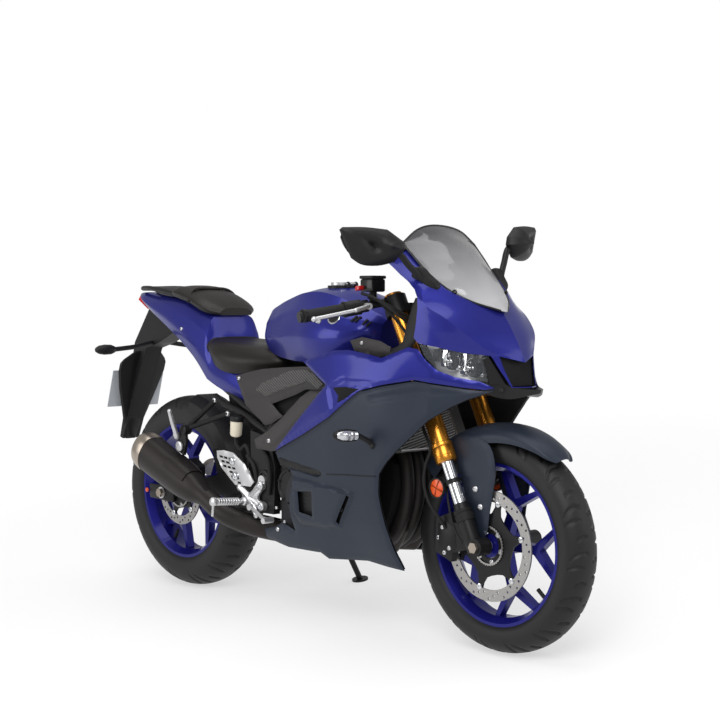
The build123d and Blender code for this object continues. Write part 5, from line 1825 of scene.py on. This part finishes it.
@dataclass
class FrontTrim(Assembly):
    """Discs, fork collars, brake hose, bolts and the reflector's frame."""

    collar: Outline = (
        (-6, 19.5), (-6, 27.5), (0, 29.5), (9, 29.5), (10.5, 28), (12, 29.5), (34, 29.5), (37, 28),
        (39, 29.5), (46, 29.5), (48, 26), (48, 24))
    brake_hose: Line = (
        (470, -96, 700), (500, -122, 600), (534, -128, 540), (520, -132, 500), (512, -130, 450),
        (524, -124, 400), (548, -108, 356), (560, -96, 330))
    cable: Line = ((560, -92, 480), (574, -104, 430), (590, -110, 380), (612, -112, 330), (640, -116, 300))
    caliper: Outline = ((528, 338), (560, 352), (596, 330), (600, 282), (580, 252), (548, 250), (530, 280))
    UP = Vector((-0.4226, 0, 0.9063))
    AHEAD = Vector((0.9063, 0, 0.4226))

    def leg(self, up: float, side: Side) -> Vector:
        """A point on a fork leg's middle line."""
        return Vector(FRONT.centre) - self.AHEAD * 18 + self.UP * up + Vector((0, side * 100, 0))

    def disc(self, name: str, body: Body, centre: Point2, level: float, outer: float, band: float, arms: int,
             turn: float) -> None:
        """A drilled ring on a dark carrier with silver rivets.

        Args:
            name: the disc's name.
            body: the wheel it turns with.
            centre: of the wheel, in x and z.
            level: distance of its outer face from the middle plane.
            outer: the ring's radius.
            band: the ring's width.
            arms: arms of the carrier.
            turn: angle of the first arm, in degrees.
        """
        f = self.f
        holes = [disc_ring(centre, outer - band, 48)]
        for k in range(arms * 8):
            a = 2 * math.pi * k / (arms * 8)
            r = outer - band * (0.25, 0.5, 0.74)[k % 3]
            holes.append(disc_ring(around(centre, r, a), 3.6, 8))
        ring = panel(f"{name}_ring", disc_ring(centre, outer, 72), lambda x, z: level, Side.RIGHT,
                     holes=holes, wall=4.5, roll=0.0, pitch=13)
        dress(ring, f.steel, body, replaces=[f"{name}_disc"])
        star = []
        for k in range(arms):
            for off, r in ((-22, 0.66), (-10, 0.72), (-5, 0.86), (-4, 1.0), (4, 1.0), (5, 0.86), (10, 0.72),
                           (22, 0.66)):
                a = math.radians(turn + 360 / arms * k + off)
                star.append(around(centre, (outer - band + 4) * r, a))
        dress(panel(f"{name}_carrier", star, lambda x, z: level - 0.5, Side.RIGHT,
                    holes=[disc_ring(centre, 34, 32)], wall=5.5, roll=1.0, roll_width=2.0, pitch=14),
              f.black_metal, body)
        for k in range(arms):
            a = math.radians(turn + 360 / arms * k)
            x, z = around(centre, outer - band - 1, a)
            rivet = [(0, 8.5), (3, 8.5), (4, 7), (4, 4), (2, 3.5), (2, 0)]
            dress(turned(f"{name}_rivet_{k}", rivet, (x, -level + 1, z), (0, -1, 0), 18), f.chrome, body)
            x, z = around(centre, 44, a + math.pi / arms)
            bolt((x, -level + 1, z), (0, -1, 0), 7, 4, f.bright, body)
        teeth = [around(centre, 51.5 if k % 2 else 54.5, math.pi * k / 40) for k in range(80)]
        sensor = panel(f"{name}_sensor_ring", teeth, lambda x, z: level + 3.5, Side.RIGHT,
                       holes=[disc_ring(centre, 48, 40)], wall=1.5, roll=0.0, pitch=12)
        dress(sensor, f.steel, body)

    def build(self) -> None:
        """Every front detail."""
        f = self.f
        self.disc(FRONT.name, FRONT.body, FRONT.hub, 65.5, 149, 31, 6, 14.0)
        self.disc(REAR.name, REAR.body, REAR.hub, 66.5, 110, 28, 5, 30.0)
        for side in Side:
            where = side.word
            collar = turned(f"fork_collar_{where}", self.collar, self.leg(252, side), self.UP, 40)
            dress(collar, f.gold, Body.STEERING)
            guard = [(0, 19), (0, 25), (16, 26), (22, 24), (26, 26), (32, 24), (34, 19)]
            dress(turned(f"fork_seal_{where}", guard, self.leg(78, side), self.UP, 32), f.rubber,
                  Body.STEERING)
            out = (0, side, 0)
            for x, z in ((653, 441), (671, 395)):
                bolt((x, side * 77, z), out, 8.5, 5, f.bright, Body.STEERING)
            nut = prism(f"front_axle_nut_{where}", disc_ring(FRONT.hub, 15, 6), *side.span(120, 130))
            dress(nut, f.cap, Body.STEERING)
            washer = [(0, 19), (4, 19), (4, 8), (0, 8)]
            washer = turned(f"front_axle_washer_{where}", washer, (690, side * 117, 293), out, 28, solid=True)
            dress(washer, f.bright, Body.STEERING)
            spot = self.leg(190, side) - self.AHEAD * 46 + Vector((0, side * 14, 0))
            rim = [(0, 24), (9, 24.5), (9, 28), (0, 28)]
            rim = turned(f"reflector_rim_{where}", rim, spot, out, 36, solid=True)
            dress(rim, f.black, Body.STEERING)
            face = turned(f"reflector_{where}", [(0, 24.2), (6, 24.2), (8, 12), (9, 0)], spot, out, 36)
            dress(face, f.orange, Body.STEERING, replaces=["reflectors"])
            for turn in (45, 135):
                d = self.UP * math.cos(math.radians(turn)) + self.AHEAD * math.sin(math.radians(turn))
                top = spot + Vector((0, side * 8.4, 0))
                line = tube(f"reflector_line_{where}_{turn}", [top - d * 22, top + d * 22], 1.6, per=2,
                            sides=6)
                dress(line, f.amber_dark, Body.STEERING)
        dress(tube("front_brake_hose", self.brake_hose, 4.5), f.rubber, Body.STEERING)
        dress(tube("sensor_cable", self.cable, 3), f.rubber, Body.STEERING)
        for x, z, y in ((548, 330, 94), (574, 276, 94), (556, 262, 94), (530, 300, 90)):
            bolt((x, -y, z), (0, -1, 0), 6.5, 5, f.bright, Body.STEERING)
        pad = prism("caliper_cover", self.caliper, -95, -84)
        dress(round_edges(pad, 5), f.black_metal, Body.STEERING)
        for spec, level in ((FRONT, 129.7), (REAR, 210.0)):
            a = math.radians(90 - level)
            ends = [(spec.centre[0] + r * math.cos(a), -14, spec.centre[2] + r * math.sin(a))
                    for r in (204, 166)]
            dress(tube(f"{spec.name}_valve", ends, 5.5, per=2, sides=12), f.rubber, spec.body)


@dataclass
class Cockpit(Assembly):
    """Lever ends, bar ends, switches, cables and the radiator's core."""

    cables: Rows = (((340, 176, 952), (392, 150, 930), (432, 90, 880), (420, 40, 800)),
                    ((352, 150, 942), (410, 138, 892), (440, 116, 840), (400, 60, 770)),
                    ((330, 190, 962), (380, 190, 950), (440, 160, 905), (450, 80, 850)))
    block: Outline = (
        (330, 500), (366, 486), (372, 430), (352, 360), (326, 300), (300, 262), (240, 250), (200, 300),
        (200, 560))

    def build(self) -> None:
        """Every detail about the bars, and the radiator."""
        f = self.f
        for side in Side:
            where = side.word
            weight = [(0, 15), (3, 18.5), (14, 18.5), (17, 15), (17, 6), (14, 5), (14, 0)]
            dress(turned(f"bar_end_{where}", weight, (279, side * 346, 902), (-0.1, side, -0.12), 28),
                  f.black_metal, Body.STEERING)
            ball = [(-8, 2), (-6, 6), (0, 8.5), (6, 6), (8, 2)]
            dress(turned(f"lever_ball_{where}", ball, (331, side * 350, 889), (0, side, 0), 20), f.bright,
                  Body.STEERING)
            for k, path in enumerate(self.cables):
                dress(tube(f"cable_{where}_{k}", side.path(path), 4.2), f.rubber, Body.STEERING)
        stop = prism("stop_switch", [(312, 968), (330, 972), (330, 984), (312, 982)], -200, -176)
        dress(round_edges(stop, 3), f.red, Body.STEERING)
        pot = [(340 + x, -158 + y) for x, y in ((-27, -24), (25, -26), (29, 22), (-23, 26))]
        dress(round_edges(prism("brake_pot", pot, 966, 1002, Plane.XY), 5), f.gloss_black, Body.STEERING,
              replaces=["brake_master"])
        lid = [(340 + (x - 340) * 1.06, -158 + (y + 158) * 1.06) for x, y in pot]
        dress(round_edges(prism("brake_pot_lid", lid, 1002, 1011, Plane.XY), 3), f.black, Body.STEERING)
        dress(tube("brake_pot_foot", [(344, -160, 930), (342, -159, 968)], 11, per=2), f.black_metal,
              Body.STEERING)
        dial = turned("gauge_face", [(0, 58), (3, 58), (4, 55)], (488, 0, 1012), (-0.9, 0, 0.35), 40)
        dress(dial, f.gloss_black)
        core = [(431, 531), (369, 668)]
        away = Vector((137, 0, 62)).normalized()
        rows = [[tuple(Vector((x, y, z)) + away * 2.5) for y in (-139, 92)] for x, z in core]
        # the core's dark stripes are painted shade between the fins
        dress(thicken(surface("radiator_core", rows), 2.0), f.fins)
        for name, path in (("low", [(431, -140, 531), (431, 96, 531)]),
                           ("far", [(431, 96, 531), (369, 96, 668)])):
            dress(tube(f"radiator_edge_{name}", path, 4, per=2, sides=8), f.bright)
        # a near-black slab before the engine: painted shade behind the radiator, over the engine's own dark
        # front
        dress(prism("engine_front", self.block, -104, 122), f.void)
        for y in (-66, -22, 22, 66):
            pipe = [(330, y, 560), (366, y, 520), (384, y, 450), (374, y, 360), (330, y, 280),
                    (280, y * 0.7, 248)]
            dress(tube(f"header_{y}", pipe, 19), f.dark_pipe)


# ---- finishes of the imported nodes
CAD_FINISH: dict[str, str] = {
    "tyre": "front_tyre rear_tyre",
    "wheel": "front_rim rear_rim",
    "steel": "front_disc rear_disc rear_sprocket",
    "gold": "fork_outer_tubes",
    "chrome": "fork_inner_tubes",
    "black_metal": "fork_feet fork_clamps clip_on_bars front_caliper side_stand main_frame cowl_stay "
                   "swingarm shock_absorber rear_caliper filler_ring fairing_stays passenger_hangers",
    "bright": "front_axle hand_levers fuel_lid chassis_axles footrest_plates footrests foot_pedals",
    "rubber": "grips",
    "black": "switch_boxes rear_guards plate_arm indicator_stalks air_intake instrument_cluster",
    "gloss_black": "brake_master mirrors",
    "dark": "front_fender lower_fairings",
    "orange": "reflectors",
    "chain": "drive_chain",
    "engine": "engine_block",
    "radiator": "radiator",
    "pipe": "exhaust_pipes",
    "muffler": "muffler",
    "cap": "muffler_cap",
    "blue": "fuel_tank tail_cowl nose_cowl mid_fairings",
    "seat": "rider_seat pillion_seat",
    "red": "tail_lamp",
    "plate": "licence_plate",
    "lens": "indicators headlamps",
    "ribbed": "side_covers",
    "screen": "windscreen",
    "cream": "rear_reservoir",
}


# ---- stage
@dataclass
class Studio:
    """Camera, lights and floor. The camera's angles and distance are about the upright bike."""

    azimuth: float = math.radians(47.335)
    elevation: float = math.radians(2.221)
    roll: float = math.radians(-0.058)
    distance: float = 4566.2
    target: Point3 = (116.4, 0.0, 767.7)
    lens: float = 77.68
    sensor: float = 36.0

    def camera(self) -> None:
        """The view from the bike's front right, carried along as the bike leans."""
        az, el, roll = self.azimuth, self.elevation, self.roll
        back = Vector((math.sin(az) * math.cos(el), -math.cos(az) * math.cos(el), math.sin(el)))
        right = (-back).cross(Vector((0, 0, 1))).normalized()
        up = right.cross(-back)
        right, up = right * math.cos(roll) + up * math.sin(roll), up * math.cos(roll) - right * math.sin(roll)
        turn = Matrix((right, up, back)).transposed().to_4x4()
        data = bpy.data.cameras.new("camera")
        data.lens = self.lens
        data.sensor_width = self.sensor
        data.clip_end = 100.0
        cam = bpy.data.objects.new("camera", data)
        bpy.context.scene.collection.objects.link(cam)
        spot = Stance.place(Vector(self.target) + back * self.distance)
        cam.matrix_world = Matrix.Translation(spot) @ Matrix.Rotation(-Stance.LEAN, 4, "X") @ turn
        bpy.context.scene.camera = cam

    def area(self, name: str, place: Point3, size: float, power: float, aim: Point3 = (0.1, 0, 0.5)) -> None:
        """One soft lamp, aimed at the bike.

        Args:
            name: the lamp's name.
            place: where it hangs, in metres.
            size: edge length in metres.
            power: in watts.
            aim: what it points at.
        """
        data = bpy.data.lights.new(name, "AREA")
        data.size = size
        data.energy = power
        lamp = bpy.data.objects.new(name, data)
        bpy.context.scene.collection.objects.link(lamp)
        lamp.location = place
        lamp.rotation_euler = (Vector(aim) - Vector(place)).to_track_quat("-Z", "Y").to_euler()

    def world(self) -> None:
        """White to the eye, a plain soft light for the bike."""
        world = bpy.data.worlds.new("world")
        world.use_nodes = True
        tree = world.node_tree
        back = tree.nodes["Background"]
        back.inputs[0].default_value = (1, 1, 1, 1)
        path = tree.nodes.new("ShaderNodeLightPath")
        mix = tree.nodes.new("ShaderNodeMapRange")
        mix.inputs["To Min"].default_value = 0.45
        mix.inputs["To Max"].default_value = 1.0
        tree.links.new(path.outputs["Is Camera Ray"], mix.inputs["Value"])
        tree.links.new(mix.outputs[0], back.inputs[1])
        bpy.context.scene.world = world

    def floor(self) -> None:
        """A pale floor that keeps the shadow and fades to white."""
        bpy.ops.mesh.primitive_plane_add(size=60.0, location=(0, 0, 0))
        floor = bpy.context.object
        floor.name = "floor"
        m = Material("floor", Base_Color=(0.84, 0.84, 0.84, 1), Roughness=0.9)
        glow = m.node("ShaderNodeEmission", {"Color": (1, 1, 1, 1), "Strength": 1.0})
        span = m.node("ShaderNodeVectorMath", {0: m.coords()}, output="Value", operation="LENGTH")
        far = m.node("ShaderNodeMapRange", {"Value": span, "From Min": 1.2, "From Max": 2.4, "To Min": 0.55})
        mixed = m.node("ShaderNodeMixShader", {0: far, 1: Socket(m, m.shader.outputs[0]), 2: glow})
        m.tree.links.new(mixed.out, m.tree.nodes["Material Output"].inputs["Surface"])
        floor.data.materials.append(m.material)

    def build(self) -> None:
        """Camera, lamps, world and the pale floor."""
        bpy.context.scene.view_settings.view_transform = "Standard"
        self.camera()
        self.area("key", (3.0, -2.6, 4.2), 3.0, 170.0)
        self.area("fill", (4.6, 2.6, 2.2), 3.0, 60.0)
        self.area("side", (-2.6, -4.6, 2.4), 3.0, 90.0)
        self.area("top", (0.0, 0.4, 4.6), 3.4, 90.0)
        self.world()
        self.floor()


def main() -> None:
    """Builds the whole scene."""
    logging.basicConfig(level=logging.INFO)
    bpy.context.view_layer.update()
    finish = Finish()
    for name, nodes in CAD_FINISH.items():
        for node in nodes.split():
            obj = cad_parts[node]
            obj.data.materials.clear()
            obj.data.materials.append(getattr(finish, name).material)
    for maker in (Nose, Upper, Panels, Fender, Mirrors, Exhaust, Wheels, Covers, FairingTrim, NoseTrim,
                  TankTrim, Rearset, RearTrim, FrontTrim, Cockpit):
        log.info("building %s", maker.__name__)
        maker(finish).build()
    Studio().build()


if __name__ == "__main__":
    main()
